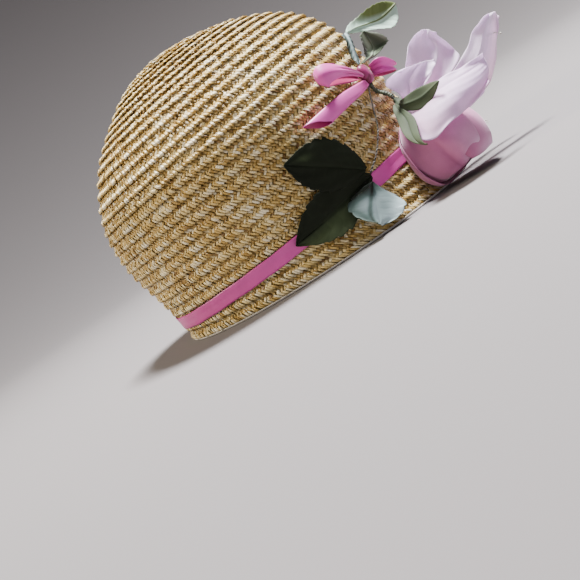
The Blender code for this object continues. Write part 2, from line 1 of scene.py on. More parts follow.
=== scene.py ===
"""Straw cloche hat with a ribbon band, a bow, a fabric rose and leaves, dressed over its frame."""

import math

import bpy
import numpy as np
from mathutils import Matrix, Vector


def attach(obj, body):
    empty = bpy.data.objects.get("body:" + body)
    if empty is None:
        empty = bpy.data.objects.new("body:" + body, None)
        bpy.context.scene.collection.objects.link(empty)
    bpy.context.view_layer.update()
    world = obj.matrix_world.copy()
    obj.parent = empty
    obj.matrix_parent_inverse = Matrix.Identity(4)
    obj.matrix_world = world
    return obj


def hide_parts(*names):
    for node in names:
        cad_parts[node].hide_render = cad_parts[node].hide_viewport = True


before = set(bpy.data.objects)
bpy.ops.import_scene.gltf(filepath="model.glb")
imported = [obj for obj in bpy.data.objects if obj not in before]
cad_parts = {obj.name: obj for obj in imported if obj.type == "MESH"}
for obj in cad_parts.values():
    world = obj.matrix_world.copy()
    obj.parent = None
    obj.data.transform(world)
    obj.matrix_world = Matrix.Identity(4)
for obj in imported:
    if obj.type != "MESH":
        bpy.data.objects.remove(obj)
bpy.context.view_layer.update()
rng = np.random.default_rng(11)

# Hat body sizes in metres, the same as the frame's
RIM_LENGTH = 0.2112
RIM_WIDTH = 0.1714
BAND_LENGTH = 0.1965
BAND_WIDTH = 0.1632
CROWN_SETBACK = 0.0084
HAT_HEIGHT = 0.1630
BRIM_BACK = 0.0142
BRIM_FRONT = 0.0325
BRIM_HOLLOW = 0.25
CROWN_ARC = 0.1908
CROWN_ROWS = 27
RIM_LIFT = 0.0008

# Plait
ROW_PITCH = CROWN_ARC / CROWN_ROWS
BRIM_PITCH = 0.0066
PLAIT_WIDTH = 0.0080
STRAW_SPACING = 0.0024
STRAW_WIDTH = 0.00165
STRAW_DOME = 0.0003
STRAW_LEAN = math.radians(47)
ROW_STEP = 0.0015
RIBBON_PRESS = 0.35
CROWN_LAP = 0.0030
BRIM_LAP = 0.0010

# Five points round a straw, four over its top and one under it: places across it, heights as
# shares of STRAW_DOME, and places for the lines of its colour
STRAW_PLACES = np.append(np.linspace(-1, 1, 4), 0.0)
STRAW_HEIGHTS = np.array([0.0, 0.9, 0.9, 0.0, -1.0])
STRAW_SIDES = np.array([0.0, 0.33, 0.67, 1.0, 0.5])

# Inner face of the straw: rows and stitches in each metre, and how far a stitch leans
LINING_ROWS = 212.0
LINING_STITCHES = 425.0
LINING_LEAN = 0.0047

# Ribbon and tape
RING_ANGLES = np.linspace(0, 2 * math.pi, 241)[:-1]
BAND_CLOTH = 0.0004
HATBAND_WIDTH = 0.0094
BOW_REACH = 0.0340
BOW_TAIL = 0.0460
KNOT_ANGLE = math.radians(32.5)
KNOT_CLIMB = 0.0490
KNOT_LENGTH = 0.0085
KNOT_HEIGHT = 0.0120
KNOT_DEPTH = 0.0060

# Stems
ROSE_STEM = 0.0026
STEM_ASIDE = 0.0020
LEAF_WIRE = 0.0012
WIRE_STANDOFF = 0.0030

# Rose
CLOTH = 0.0006
BUD_LENGTH = 0.0510
BUD_RADIUS = 0.0250
BUD_CLEARANCE = 0.0020
BUD_FLATTEN = 0.25
BUD_FLAT_ANGLE = math.radians(61)
CALYX_ANGLE = math.radians(35.5)
CALYX_CLIMB = 0.0244
CALYX_STANDOFF = 0.0126
CALYX_LENGTH = 0.0090
CALYX_RADIUS = 0.0046
CALYX_REAR = 0.086 * BUD_LENGTH - 0.0003 - CALYX_LENGTH
MOUTH_ANGLE = math.radians(41.0)
MOUTH_HEIGHT = 0.0140
MOUTH_SLOPE = 0.07
MOUTH_TURN = math.radians(45.0)
HEART_TURN = 5 * math.pi

# The least width or length worked out for a sheet's flat size. The least width or
# length that a sheet may be declared with
LEAST_FLAT = 0.0100

# Point that the inner faces of the leaves look at
HAT_CENTRE = np.array([0.0, 0.0, 0.08])

# Leaves
LEAF_ANGLE = math.radians(60.5)
LEAF_CLIMB = 0.0070
UPPER_LEAF = 0.0465
LOWER_LEAF = 0.0585
CURLED_LEAF = 0.0300
TOP_LEAF = 0.0300

# Crown sections. Columns: climb, back reach, front reach, back height, front height, half width
CROWN_SECTIONS = np.array([
    [0.000, 1.000, 1.000, 0.000, 0.000, 1.000],
    [0.123, 1.048, 0.995, 0.142, 0.185, 1.028],
    [0.278, 1.104, 0.960, 0.325, 0.425, 1.047],
    [0.433, 1.077, 0.877, 0.518, 0.650, 1.000],
    [0.588, 0.916, 0.701, 0.715, 0.821, 0.833],
    [0.742, 0.693, 0.411, 0.851, 0.933, 0.582],
    [0.876, 0.466, 0.087, 0.947, 0.986, 0.311],
    [1.000, 0.194, -0.194, 1.000, 1.000, 0.000],
])

# Straws that cross one row, from its lower edge up. Columns: place up the row, height and
# share of STRAW_WIDTH
EDGE_STRAW = np.array([
    [0.0006, -0.0009, 0.85],
    [-0.0004, 0.0002, 0.95],
    [0.0011, 0.00085, 1.05],
    [0.0026, 0.00035, 1.00],
    [0.0034, -0.0004, 0.85],
])
MIDDLE_STRAW = np.array([
    [0.0018, -0.00045, 0.85],
    [0.0027, 0.00025, 1.05],
    [0.0042, 0.00025, 1.05],
    [0.0051, -0.00045, 0.85],
])
UPPER_STRAW = np.array([
    [0.0041, -0.00045, 0.85],
    [0.0050, 0.00020, 1.05],
    [0.0064, 0.00020, 1.05],
    [0.0079, -0.00020, 0.90],
])

# Tape folded round the rim, from its inner edge. Columns: height and standoff from the brim
TAPE_SECTION = np.array([
    [0.0090, -0.0027],
    [0.0055, -0.0028],
    [0.0022, -0.0027],
    [0.0007, -0.0022],
    [0.0003, -0.0012],
    [0.0003, -0.0003],
    [0.0007, 0.0004],
    [0.0013, 0.0006],
])

# Ribbon runs of the bow. Columns: two edges of the ribbon, each as around to the back, up and
# out from the knot, as shares of the piece's length
LEFT_LOOP = np.array([
    [0.138, 0.05, 0.12, 0.140, -0.01, 0.09],
    [0.41, 0.24, 0.23, 0.51, 0.13, 0.21],
    [0.64, 0.41, 0.29, 0.74, 0.22, 0.26],
    [0.82, 0.54, 0.30, 0.91, 0.25, 0.27],
    [0.95, 0.59, 0.25, 1.00, 0.24, 0.25],
    [1.03, 0.54, 0.16, 1.00, 0.22, 0.19],
    [0.95, 0.48, 0.10, 0.91, 0.21, 0.14],
    [0.70, 0.38, 0.08, 0.69, 0.14, 0.10],
    [0.41, 0.22, 0.06, 0.43, 0.05, 0.08],
    [0.138, 0.06, 0.05, 0.138, -0.02, 0.05],
])
RIGHT_LOOP = np.array([
    [-0.14, 0.08, 0.17, -0.14, -0.12, 0.13],
    [-0.18, 0.09, 0.34, -0.16, -0.17, 0.27],
    [-0.27, 0.02, 0.43, -0.22, -0.22, 0.35],
    [-0.41, -0.12, 0.45, -0.33, -0.27, 0.38],
    [-0.54, -0.22, 0.40, -0.46, -0.30, 0.36],
    [-0.60, -0.17, 0.30, -0.52, -0.30, 0.26],
    [-0.57, -0.08, 0.20, -0.45, -0.25, 0.15],
    [-0.40, 0.00, 0.12, -0.32, -0.19, 0.09],
    [-0.145, 0.03, 0.08, -0.145, -0.11, 0.07],
])
# Middle line of the tail, and half its width and half its depth. The tail is a ribbon doubled
# into a flat sleeve. Its cut end slants across, and its lower layer reaches further
TAIL = np.array([
    [0.100, -0.085, 0.055, 0.045, 0.020],
    [0.330, -0.080, 0.060, 0.070, 0.024],
    [0.640, -0.066, 0.066, 0.088, 0.030],
    [0.980, -0.076, 0.076, 0.096, 0.036],
    [1.290, -0.095, 0.096, 0.106, 0.040],
])
TAIL_SLANT = 0.20
TAIL_LAP = 0.08

# Knot. Columns: place from the hat out, and width as a share of the knot's
KNOT_SWELL = np.array([[0.00, 0.80], [0.20, 1.00], [0.50, 1.06], [0.80, 0.92], [1.00, 0.50]])

# Leaf outlines. Columns: place along the leaf, half width above and below the midrib and
# lift off the hat, as shares of the leaf's length
UPPER_OUTLINE = np.array([
    [0.00, 0.03, 0.03, 0.090],
    [0.12, 0.16, 0.15, 0.092],
    [0.35, 0.30, 0.27, 0.098],
    [0.60, 0.33, 0.29, 0.100],
    [0.80, 0.23, 0.21, 0.092],
    [0.93, 0.10, 0.09, 0.085],
    [1.00, 0.015, 0.015, 0.085],
])
LOWER_OUTLINE = np.array([
    [0.00, 0.025, 0.025, 0.040],
    [0.12, 0.13, 0.11, 0.042],
    [0.35, 0.23, 0.20, 0.046],
    [0.60, 0.25, 0.24, 0.052],
    [0.80, 0.18, 0.18, 0.050],
    [0.93, 0.08, 0.08, 0.046],
    [1.00, 0.012, 0.012, 0.046],
])
CURLED_OUTLINE = np.array([
    [0.00, 0.05, 0.05, 0.130],
    [0.15, 0.25, 0.22, 0.150],
    [0.40, 0.44, 0.42, 0.190],
    [0.65, 0.44, 0.44, 0.230],
    [0.88, 0.28, 0.30, 0.260],
    [1.00, 0.06, 0.06, 0.270],
])

# Leaves above the bow. Columns as for the bow's ribbon runs, and how far the blade bulges
LARGE_TOP_LEAF = np.array([
    [-0.56, 0.90, 0.07, -0.58, 0.83, 0.11, 0.00],
    [-0.76, 0.98, 0.15, -0.83, 0.70, 0.23, 0.04],
    [-1.01, 0.98, 0.26, -1.09, 0.52, 0.41, 0.06],
    [-1.31, 0.97, 0.43, -1.36, 0.34, 0.53, 0.06],
    [-1.60, 0.91, 0.58, -1.61, 0.39, 0.63, 0.04],
    [-1.83, 0.79, 0.72, -1.80, 0.56, 0.73, 0.00],
])
NARROW_TOP_LEAF = np.array([
    [-0.40, 0.90, 0.04, -0.53, 0.88, 0.11, 0.00],
    [-0.31, 0.76, 0.06, -0.44, 0.72, 0.12, 0.03],
    [-0.21, 0.60, 0.06, -0.35, 0.53, 0.12, 0.03],
    [-0.11, 0.41, 0.06, -0.24, 0.34, 0.11, 0.02],
    [-0.03, 0.225, 0.08, -0.11, 0.215, 0.10, 0.00],
])
CURLED_TOP_LEAF = np.array([
    [-0.07, 0.220, 0.13, -0.13, 0.190, 0.14, 0.00],
    [-0.35, 0.25, 0.20, -0.60, 0.14, 0.26, 0.03],
    [-0.39, 0.34, 0.20, -0.98, 0.17, 0.33, 0.10],
    [-0.48, 0.45, 0.20, -1.15, 0.22, 0.38, 0.14],
    [-0.58, 0.60, 0.22, -1.06, 0.43, 0.38, 0.10],
    [-0.70, 0.70, 0.25, -0.84, 0.63, 0.32, 0.00],
])

# Wire from the knot to the lower leaves. Columns: share of the way around, share of the way
# down and standoff as a share of WIRE_STANDOFF
WIRE_ROUTE = np.array([
    [0.00, 0.00, 0.85],
    [0.15, 0.15, 0.85],
    [0.41, 0.52, 1.00],
    [0.56, 0.69, 0.90],
    [0.76, 0.86, 1.00],
    [1.00, 1.00, 1.25],
])

# Rose petals and sepals. Columns: two edges, each as along the rose, out from the hat and to
# the side, and how far the petal cups, as shares of BUD_LENGTH
FRONT_PETAL = np.array([
    [0.05, 0.081, 0.068, 0.05, 0.000, 0.106, 0.00],
    [0.20, 0.31, 0.02, 0.52, 0.10, 0.45, -0.06],
    [0.25, 0.50, -0.02, 0.72, 0.22, 0.46, -0.10],
    [0.33, 0.69, -0.13, 0.73, 0.46, 0.25, -0.09],
    [0.38, 0.83, -0.28, 0.73, 0.65, -0.06, -0.06],
    [0.39, 0.90, -0.46, 0.65, 0.79, -0.33, -0.02],
])
TALL_PETAL = np.array([
    [0.06, 0.094, -0.049, 0.06, 0.036, -0.100, 0.00],
    [0.18, 0.36, -0.33, 0.46, 0.22, -0.62, -0.03],
    [0.14, 0.52, -0.58, 0.50, 0.39, -0.90, -0.06],
    [0.08, 0.66, -0.79, 0.40, 0.59, -1.05, -0.06],
    [0.00, 0.80, -0.91, 0.23, 0.78, -1.16, -0.05],
    [-0.03, 0.93, -1.03, 0.10, 0.92, -1.22, -0.03],
    [-0.01, 0.99, -1.19, 0.03, 1.00, -1.27, 0.00],
])
UPPER_PETAL = np.array([
    [-0.02, 0.068, -0.068, -0.02, 0.023, -0.093, 0.00],
    [-0.05, 0.110, -0.160, 0.02, 0.090, -0.240, 0.00],
    [-0.18, 0.18, -0.18, 0.12, 0.19, -0.52, 0.03],
    [-0.33, 0.28, -0.30, 0.04, 0.37, -0.86, 0.05],
    [-0.45, 0.37, -0.46, -0.08, 0.44, -0.93, 0.04],
    [-0.49, 0.45, -0.57, -0.31, 0.49, -0.84, 0.02],
    [-0.49, 0.53, -0.69, -0.40, 0.54, -0.81, 0.00],
])
LEFT_PETAL = np.array([
    [0.03, 0.094, 0.052, 0.05, 0.103, -0.028, 0.00],
    [-0.05, 0.17, 0.13, 0.10, 0.25, -0.06, 0.02],
    [-0.19, 0.20, 0.22, 0.06, 0.38, -0.17, 0.04],
    [-0.22, 0.31, 0.17, 0.02, 0.46, -0.30, 0.04],
    [-0.16, 0.41, 0.01, -0.07, 0.51, -0.38, 0.00],
])
BACK_PETAL = np.array([
    [0.05, -0.092, -0.053, 0.05, -0.018, -0.104, 0.00],
    [0.28, -0.24, -0.48, 0.14, 0.02, -0.58, -0.03],
    [0.39, -0.20, -0.86, 0.17, 0.13, -0.96, -0.06],
    [0.42, 0.02, -1.17, 0.27, 0.24, -1.20, -0.05],
    [0.37, 0.25, -1.29, 0.26, 0.37, -1.25, 0.00],
])
UPPER_SEPAL = np.array([
    [-0.03, 0.060, 0.075, -0.02, 0.046, 0.084, 0.00],
    [0.04, 0.170, 0.190, 0.14, 0.100, 0.230, 0.00],
    [0.13, 0.390, 0.200, 0.35, 0.310, 0.260, 0.01],
    [0.21, 0.530, 0.175, 0.36, 0.490, 0.210, 0.00],
    [0.30, 0.640, 0.155, 0.32, 0.640, 0.150, 0.00],
])
LOWER_SEPAL = np.array([
    [-0.03, -0.015, 0.096, -0.02, 0.021, 0.094, 0.00],
    [0.05, -0.010, 0.200, 0.14, 0.110, 0.215, 0.00],
    [0.18, 0.010, 0.320, 0.34, 0.200, 0.340, 0.01],
    [0.36, 0.040, 0.480, 0.54, 0.200, 0.510, 0.00],
    [0.53, 0.080, 0.560, 0.66, 0.190, 0.580, 0.00],
    [0.70, 0.180, 0.590, 0.71, 0.220, 0.590, 0.00],
])

# Bud petals wrapped round the bud. Columns: place along the bud, radius as a share of
# BUD_RADIUS, and width as a share of the full wrap
BUD_WRAP = np.array([
    [0.09, 0.23, 0.60],
    [0.20, 0.52, 0.80],
    [0.35, 0.80, 0.98],
    [0.55, 0.95, 1.00],
    [0.75, 1.00, 1.00],
    [0.92, 0.87, 0.96],
    [1.00, 0.66, 0.86],
])
CALYX_BELL = np.array([
    [0.00, 0.34],
    [0.25, 0.50],
    [0.55, 0.90],
    [0.80, 1.00],
    [1.00, 0.92],
])


def stack(*parts):
    return np.stack(np.broadcast_arrays(*parts), axis=-1)


def unit(vectors):
    return vectors / np.maximum(np.linalg.norm(vectors, axis=-1, keepdims=True), 1e-12)


def read_table(table, position):
    """Values of a table at positions in its first column, on a smooth curve."""
    position = np.asarray(position, dtype=float)
    places = table[:, 0]
    values = table[:, 1:]
    last = len(places) - 1
    row = np.clip(np.searchsorted(places, position, side="right") - 1, 0, last - 1)
    step = (places[row + 1] - places[row])[..., None]
    share = (position - places[row])[..., None] / step
    before = np.maximum(np.arange(last + 1) - 1, 0)
    after = np.minimum(np.arange(last + 1) + 1, last)
    slopes = (values[after] - values[before]) / (places[after] - places[before])[:, None]
    cubic = share ** 3
    square = share ** 2
    return ((2 * cubic - 3 * square + 1) * values[row]
            + (cubic - 2 * square + share) * slopes[row] * step
            + (3 * square - 2 * cubic) * values[row + 1]
            + (cubic - square) * slopes[row + 1] * step)


def numbered(table):
    """Table with even steps from 0 to 1 put before its columns."""
    return np.column_stack([np.linspace(0, 1, len(table)), table])


# Places on the hat

def crown_point(climb, angle):
    share = np.clip(climb / CROWN_ARC, 0.0, 1.0)
    back, front, back_rise, front_rise, width = np.moveaxis(read_table(CROWN_SECTIONS, share), -1, 0)
    half = BAND_LENGTH / 2
    turn = np.cos(angle)
    back_y = -CROWN_SETBACK - back * half
    front_y = -CROWN_SETBACK + front * half
    back_z = BRIM_BACK + back_rise * (HAT_HEIGHT - BRIM_BACK)
    front_z = BRIM_FRONT + front_rise * (HAT_HEIGHT - BRIM_FRONT)
    reach = (back_y + front_y) / 2 + (front_y - back_y) / 2 * turn
    height = (back_z + front_z) / 2 + (front_z - back_z) / 2 * turn
    return stack(-width * BAND_WIDTH / 2 * np.sin(angle), -reach, height)


def brim_depth(angle):
    """Height of the band line above the rim plane."""
    return (BRIM_FRONT + BRIM_BACK) / 2 + np.cos(angle) * (BRIM_FRONT - BRIM_BACK) / 2


def brim_point(height, angle, out=0.0):
    """Point on the brim at a height above the rim plane, moved level by out."""
    share = height / brim_depth(angle)
    closed = share * (1 + BRIM_HOLLOW * (1 - share))
    half_length = RIM_LENGTH / 2 + closed * (BAND_LENGTH - RIM_LENGTH) / 2
    half_width = RIM_WIDTH / 2 + closed * (BAND_WIDTH - RIM_WIDTH) / 2
    outward = unit(stack(-np.sin(angle) / half_width, -np.cos(angle) / half_length, 0.0))
    ring = stack(-half_width * np.sin(angle), closed * CROWN_SETBACK - half_length * np.cos(angle), height)
    return ring + out * outward


def wall_point(climb, angle):
    """Point on the hat's outside, above the band line on the crown and below it on the brim."""
    climb, angle = np.broadcast_arrays(climb, angle)
    on_crown = crown_point(climb, angle)
    on_brim = brim_point(brim_depth(angle) + climb, angle)
    return np.where((climb >= 0)[..., None], on_crown, on_brim)


def wall_frame(climb, angle):
    """Point on the hat's outside with its directions: around to the back, up, and out."""
    small = 0.0005
    point = wall_point(climb, angle)
    low = np.minimum(climb, CROWN_ARC - 0.002)
    around = unit(wall_point(low, angle + small) - wall_point(low, angle - small))
    up = wall_point(low + small, angle) - wall_point(low - small, angle)
    up = unit(up - around * (up * around).sum(-1, keepdims=True))
    return point, around, up, np.cross(up, around)


def wall(climb, angle, out):
    """Point at a standoff from the hat's outside."""
    point, _, _, normal = wall_frame(climb, angle)
    return point + np.asarray(out)[..., None] * normal


def turn_radius(climb, angle):
    """Metres around the hat for each radian of angle."""
    small = 0.01
    step = wall_point(climb, angle + small) - wall_point(climb, angle - small)
    return np.linalg.norm(step, axis=-1) / (2 * small)


def on_hat(climb, angle, around, up, out):
    """Point reached from a place on the hat by going around, up and out."""
    return wall(climb + up, angle + around / turn_radius(climb, angle), out)


def knot_frame():
    """Place on the hat under the knot, with its directions as rows: around, up and out."""
    point, around, up, out = wall_frame(KNOT_CLIMB, KNOT_ANGLE)
    return point, np.array([around, up, out])


def by_knot(local):
    """Point beside the knot, from its own directions."""
    centre, axes = knot_frame()
    return centre + local @ axes


def along_hat(local):
    """Point beside the knot that follows the hat's curve."""
    return on_hat(KNOT_CLIMB, KNOT_ANGLE, local[..., 0], local[..., 1], local[..., 2])


def rose_frame():
    """Base of the rose, with its directions as rows: along, out from the hat, and side."""
    base = wall(CALYX_CLIMB, CALYX_ANGLE, CALYX_STANDOFF)
    reach = BUD_RADIUS + BUD_CLEARANCE
    mouth = brim_point(MOUTH_HEIGHT, MOUTH_ANGLE, reach)
    level = unit(mouth - brim_point(MOUTH_HEIGHT, MOUTH_ANGLE))
    along = unit(mouth - base)
    out = unit(level - along * np.dot(level, along))
    return base, np.array([along, out, np.cross(along, out)])


def by_rose(local):
    """Point beside the rose, from its own directions."""
    base, axes = rose_frame()
    return base + local @ axes


def round_rose(along, radius, angle):
    """Point round the axis of the rose, on a bud that is a little flat on two sides."""
    radius = radius * (1 - BUD_FLATTEN * np.cos(angle - BUD_FLAT_ANGLE) ** 2)
    return by_rose(stack(along, radius * np.cos(angle), radius * np.sin(angle)))


# Materials

def material(name, roughness, **settings):
    """New material with its shader, to be wired by the caller."""
    made = bpy.data.materials.new(name)
    made.use_nodes = True
    shader = made.node_tree.nodes["Principled BSDF"]
    shader.inputs["Roughness"].default_value = roughness
    for key, value in settings.items():
        shader.inputs[key.replace("_", " ")].default_value = value
    return made, made.node_tree, shader


def wire(tree, value, socket):
    """Link a socket, or set it to a number or a colour."""
    if isinstance(value, bpy.types.NodeSocket):
        tree.links.new(value, socket)
    elif isinstance(value, tuple):
        socket.default_value = (*value, 1.0)
    else:
        socket.default_value = value


def ramp(tree, source, stops):
    node = tree.nodes.new("ShaderNodeValToRGB")
    elements = node.color_ramp.elements
    while len(elements) < len(stops):
        elements.new(0.5)
    for element, (place, colour) in zip(elements, stops):
        element.position = place
        element.color = (*colour, 1.0)
    tree.links.new(source, node.inputs["Fac"])
    return node.outputs["Color"]


def blend(tree, share, first, second, kind="MIX"):
    """Colour between two colours."""
    node = tree.nodes.new("ShaderNodeMix")
    node.data_type = "RGBA"
    node.blend_type = kind
    sockets = {socket.identifier: socket for socket in node.inputs}
    wire(tree, share, sockets["Factor_Float"])
    wire(tree, first, sockets["A_Color"])
    wire(tree, second, sockets["B_Color"])
    return {socket.identifier: socket for socket in node.outputs}["Result_Color"]


def sums(tree, operation, first, second=0.0, third=0.0):
    node = tree.nodes.new("ShaderNodeMath")
    node.operation = operation
    for value, socket in zip((first, second, third), node.inputs):
        wire(tree, value, socket)
    return node.outputs[0]


def noise(tree, scale, detail):
    """Noise in the object's own coordinates."""
    place = tree.nodes.new("ShaderNodeTexCoord").outputs["Object"]
    node = tree.nodes.new("ShaderNodeTexNoise")
    node.inputs["Scale"].default_value = scale
    node.inputs["Detail"].default_value = detail
    tree.links.new(place, node.inputs["Vector"])
    return node.outputs["Fac"]


def bump(tree, shader, height, strength, distance):
    node = tree.nodes.new("ShaderNodeBump")
    node.inputs["Strength"].default_value = strength
    node.inputs["Distance"].default_value = distance
    tree.links.new(height, node.inputs["Height"])
    tree.links.new(node.outputs["Normal"], shader.inputs["Normal"])


def attribute(tree, name):
    node = tree.nodes.new("ShaderNodeAttribute")
    node.attribute_name = name
    return node.outputs["Fac"]


def straw_material():
    """Glossy straw that changes from straw to straw, with painted shade where it goes under the next row and
    a painted highlight on the straws at each row's lower edge.
    """
    made, tree, shader = material("straw", 0.32, Specular_IOR_Level=0.65)
    shade = attribute(tree, "shade")
    tuck = attribute(tree, "tuck")
    streak = attribute(tree, "across")
    # Colour from each straw's own tone, made lighter on a row's lower edge as a painted highlight
    colour = ramp(tree, shade, (
        (0.00, (0.25, 0.13, 0.025)), (0.30, (0.48, 0.32, 0.085)), (0.55, (0.69, 0.495, 0.155)),
        (0.78, (0.90, 0.75, 0.37)), (1.00, (1.0, 0.94, 0.70))))
    patch = ramp(tree, noise(tree, 26.0, 4.0), ((0.35, (0.84, 0.77, 0.64)), (0.65, (1.0, 1.0, 1.0))))
    colour = blend(tree, 0.8, colour, patch, "MULTIPLY")
    fibre = sums(tree, "SINE", sums(tree, "MULTIPLY", streak, 31.0))
    lines = ramp(tree, sums(tree, "MULTIPLY_ADD", fibre, 0.5, 0.5),
                 ((0.0, (0.72, 0.60, 0.42)), (0.6, (1.0, 1.0, 1.0))))
    colour = blend(tree, 0.7, colour, lines, "MULTIPLY")
    # Painted shade: near-black brown blended in where a straw goes under the next row
    colour = blend(tree, sums(tree, "MULTIPLY", tuck, 0.9), colour, (0.10, 0.048, 0.010))
    tree.links.new(colour, shader.inputs["Base Color"])
    bump(tree, shader, fibre, 0.5, 0.00012)
    return made


def lining_material():
    """Inner face of the plait: the same straw, seen as fine slanted stitches."""
    made, tree, shader = material("straw_inside", 0.55)
    around = attribute(tree, "around")
    row = sums(tree, "FRACT", sums(tree, "MULTIPLY", attribute(tree, "up"), LINING_ROWS))
    lean = sums(tree, "ABSOLUTE", sums(tree, "SUBTRACT", row, 0.5))
    slant = sums(tree, "ADD", around, sums(tree, "MULTIPLY", lean, LINING_LEAN))
    cell = sums(tree, "FRACT", sums(tree, "MULTIPLY", slant, LINING_STITCHES))
    dome = sums(tree, "SINE", sums(tree, "MULTIPLY", cell, math.pi))
    # Each stitch is painted light at its crown and dark brown at its edges: painted shade between the
    # stitches
    colour = ramp(tree, dome, (
        (0.0, (0.16, 0.085, 0.02)), (0.45, (0.46, 0.30, 0.09)), (1.0, (0.68, 0.49, 0.19))))
    grain = ramp(tree, noise(tree, 900.0, 2.0), ((0.3, (0.7, 0.6, 0.45)), (0.7, (1.0, 1.0, 1.0))))
    colour = blend(tree, 0.5, colour, grain, "MULTIPLY")
    tree.links.new(colour, shader.inputs["Base Color"])
    bump(tree, shader, dome, 0.8, 0.0006)
    return made


def cloth_material(name, tones, inner, roughness, sheen, glow=0.0, grain=0.25, gloss=0.3):
    """Cloth whose colour follows the tone worked out for each point, with its own inner colour."""
    made, tree, shader = material(
        name, roughness, Sheen_Weight=sheen, Sheen_Roughness=0.4, Specular_IOR_Level=gloss)
    colour = ramp(tree, attribute(tree, "tone"), tones)
    colour = blend(tree, attribute(tree, "inner"), colour, inner)
    patch = ramp(tree, noise(tree, 130.0, 4.0), ((0.3, (0.86, 0.84, 0.86)), (0.65, (1.0, 1.0, 1.0))))
    colour = blend(tree, 0.7, colour, patch, "MULTIPLY")
    threads = noise(tree, 1500.0, 2.0)
    weave = ramp(tree, threads, ((0.3, (0.80, 0.80, 0.80)), (0.7, (1.0, 1.0, 1.0))))
    colour = blend(tree, grain, colour, weave, "MULTIPLY")
    tree.links.new(colour, shader.inputs["Base Color"])
    bump(tree, shader, threads, 0.25, 0.0001)
    if glow:
        output = tree.nodes["Material Output"]
        through = tree.nodes.new("ShaderNodeBsdfTranslucent")
        tree.links.new(colour, through.inputs["Color"])
        mixed = tree.nodes.new("ShaderNodeMixShader")
        mixed.inputs["Fac"].default_value = glow
        tree.links.new(shader.outputs["BSDF"], mixed.inputs[1])
        tree.links.new(through.outputs["BSDF"], mixed.inputs[2])
        tree.links.new(mixed.outputs["Shader"], output.inputs["Surface"])
    return made


def thread_material(name, dark, light, scale, roughness):
    """Wrapped stem or thread with uneven colour along it."""
    made, tree, shader = material(name, roughness)
    colour = ramp(tree, noise(tree, scale, 3.0), ((0.38, dark), (0.62, light)))
    tree.links.new(colour, shader.inputs["Base Color"])
    bump(tree, shader, noise(tree, scale * 3, 2.0), 0.5, 0.0002)
    return made


def tape_material():
    """Off-white woven tape."""
    made, tree, shader = material("tape", 0.85)
    place = tree.nodes.new("ShaderNodeTexCoord").outputs["Object"]
    rib = tree.nodes.new("ShaderNodeTexWave")
    rib.bands_direction = "Z"
    rib.inputs["Scale"].default_value = 420.0
    rib.inputs["Distortion"].default_value = 1.5
    tree.links.new(place, rib.inputs["Vector"])
    colour = ramp(tree, rib.outputs["Fac"], ((0.0, (0.50, 0.46, 0.40)), (0.7, (0.80, 0.77, 0.71))))
    tree.links.new(colour, shader.inputs["Base Color"])
    bump(tree, shader, rib.outputs["Fac"], 0.4, 0.0002)
    return made


# Meshes

def new_piece(name, vertices, faces, finish, slot, **fields):
    """Smooth mesh object from arrays of points and of faces, with its values for each point."""
    mesh = bpy.data.meshes.new(name)
    vertices = np.ascontiguousarray(vertices, dtype=np.float32).reshape(-1, 3)
    faces = np.ascontiguousarray(faces, dtype=np.int32)
    mesh.vertices.add(len(vertices))
    mesh.vertices.foreach_set("co", vertices.ravel())
    sides = faces.shape[1]
    mesh.loops.add(faces.size)
    mesh.loops.foreach_set("vertex_index", faces.ravel())
    mesh.polygons.add(len(faces))
    mesh.polygons.foreach_set("loop_start", np.arange(0, faces.size, sides, dtype=np.int32))
    mesh.polygons.foreach_set("use_smooth", np.full(len(faces), True))
    mesh.update(calc_edges=True)
    for key, values in fields.items():
        made = mesh.attributes.new(key, "FLOAT", "POINT")
        made.data.foreach_set("value", np.ascontiguousarray(values, dtype=np.float32).ravel())
    mesh.materials.append(finish)
    label = name + "_cloth" if name in bpy.data.objects else name
    piece = bpy.data.objects.new(label, mesh)
    bpy.context.scene.collection.objects.link(piece)
    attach(piece, "root")
    return piece


def grid_faces(index, closed=False):
    """Four-sided faces between the rows and columns of a grid of point numbers."""
    after = np.roll(index, -1, axis=1) if closed else index[:, 1:]
    here = index if closed else index[:, :-1]
    return np.stack([here[:-1], here[1:], after[1:], after[:-1]], -1).reshape(-1, 4)


def halves(quads):
    """Triangles of four-sided faces."""
    return np.concatenate([quads[:, [0, 1, 2]], quads[:, [0, 2, 3]]])


def sheet(name, grid, thickness, finish, slot, tone, node=None, inside=None):
    """Closed solid of a thin cloth whose middle surface is a grid of points, thin at its edges.

    Its inner face looks at the point inside, or else at the middle of the sheet itself."""
    rows, columns = grid.shape[:2]
    tone = np.broadcast_to(tone, (rows, columns))
    normals = unit(np.cross(np.gradient(grid, axis=0), np.gradient(grid, axis=1)))
    centre = grid.mean((0, 1)) if inside is None else inside
    if (normals * (grid - centre)).sum() < 0:
        grid, tone, normals = grid[:, ::-1], tone[:, ::-1], -normals[:, ::-1]
    along = np.abs(np.linspace(-1, 1, rows))[:, None]
    across = np.abs(np.linspace(-1, 1, columns))[None]
    depth = thickness * (1 - 0.6 * np.maximum(along, across) ** 10)
    shift = normals * depth[..., None] / 2
    points = np.concatenate([(grid + shift).reshape(-1, 3), (grid - shift).reshape(-1, 3)])
    index = np.arange(rows * columns).reshape(rows, columns)
    border = np.concatenate([index[0, :-1], index[:-1, -1], index[-1, :0:-1], index[:0:-1, 0]])
    after = np.roll(border, -1)
    under = rows * columns
    walls = np.stack([border, after, after + under, border + under], -1)
    faces = np.concatenate([grid_faces(index), grid_faces(index)[:, ::-1] + under, walls])
    tones = np.concatenate([tone.ravel(), tone.ravel()])
    inner = np.concatenate([np.zeros(under), np.ones(under)])
    piece = new_piece(name, points, faces, finish, slot, tone=tones, inner=inner)
    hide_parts(node or name)
    return piece


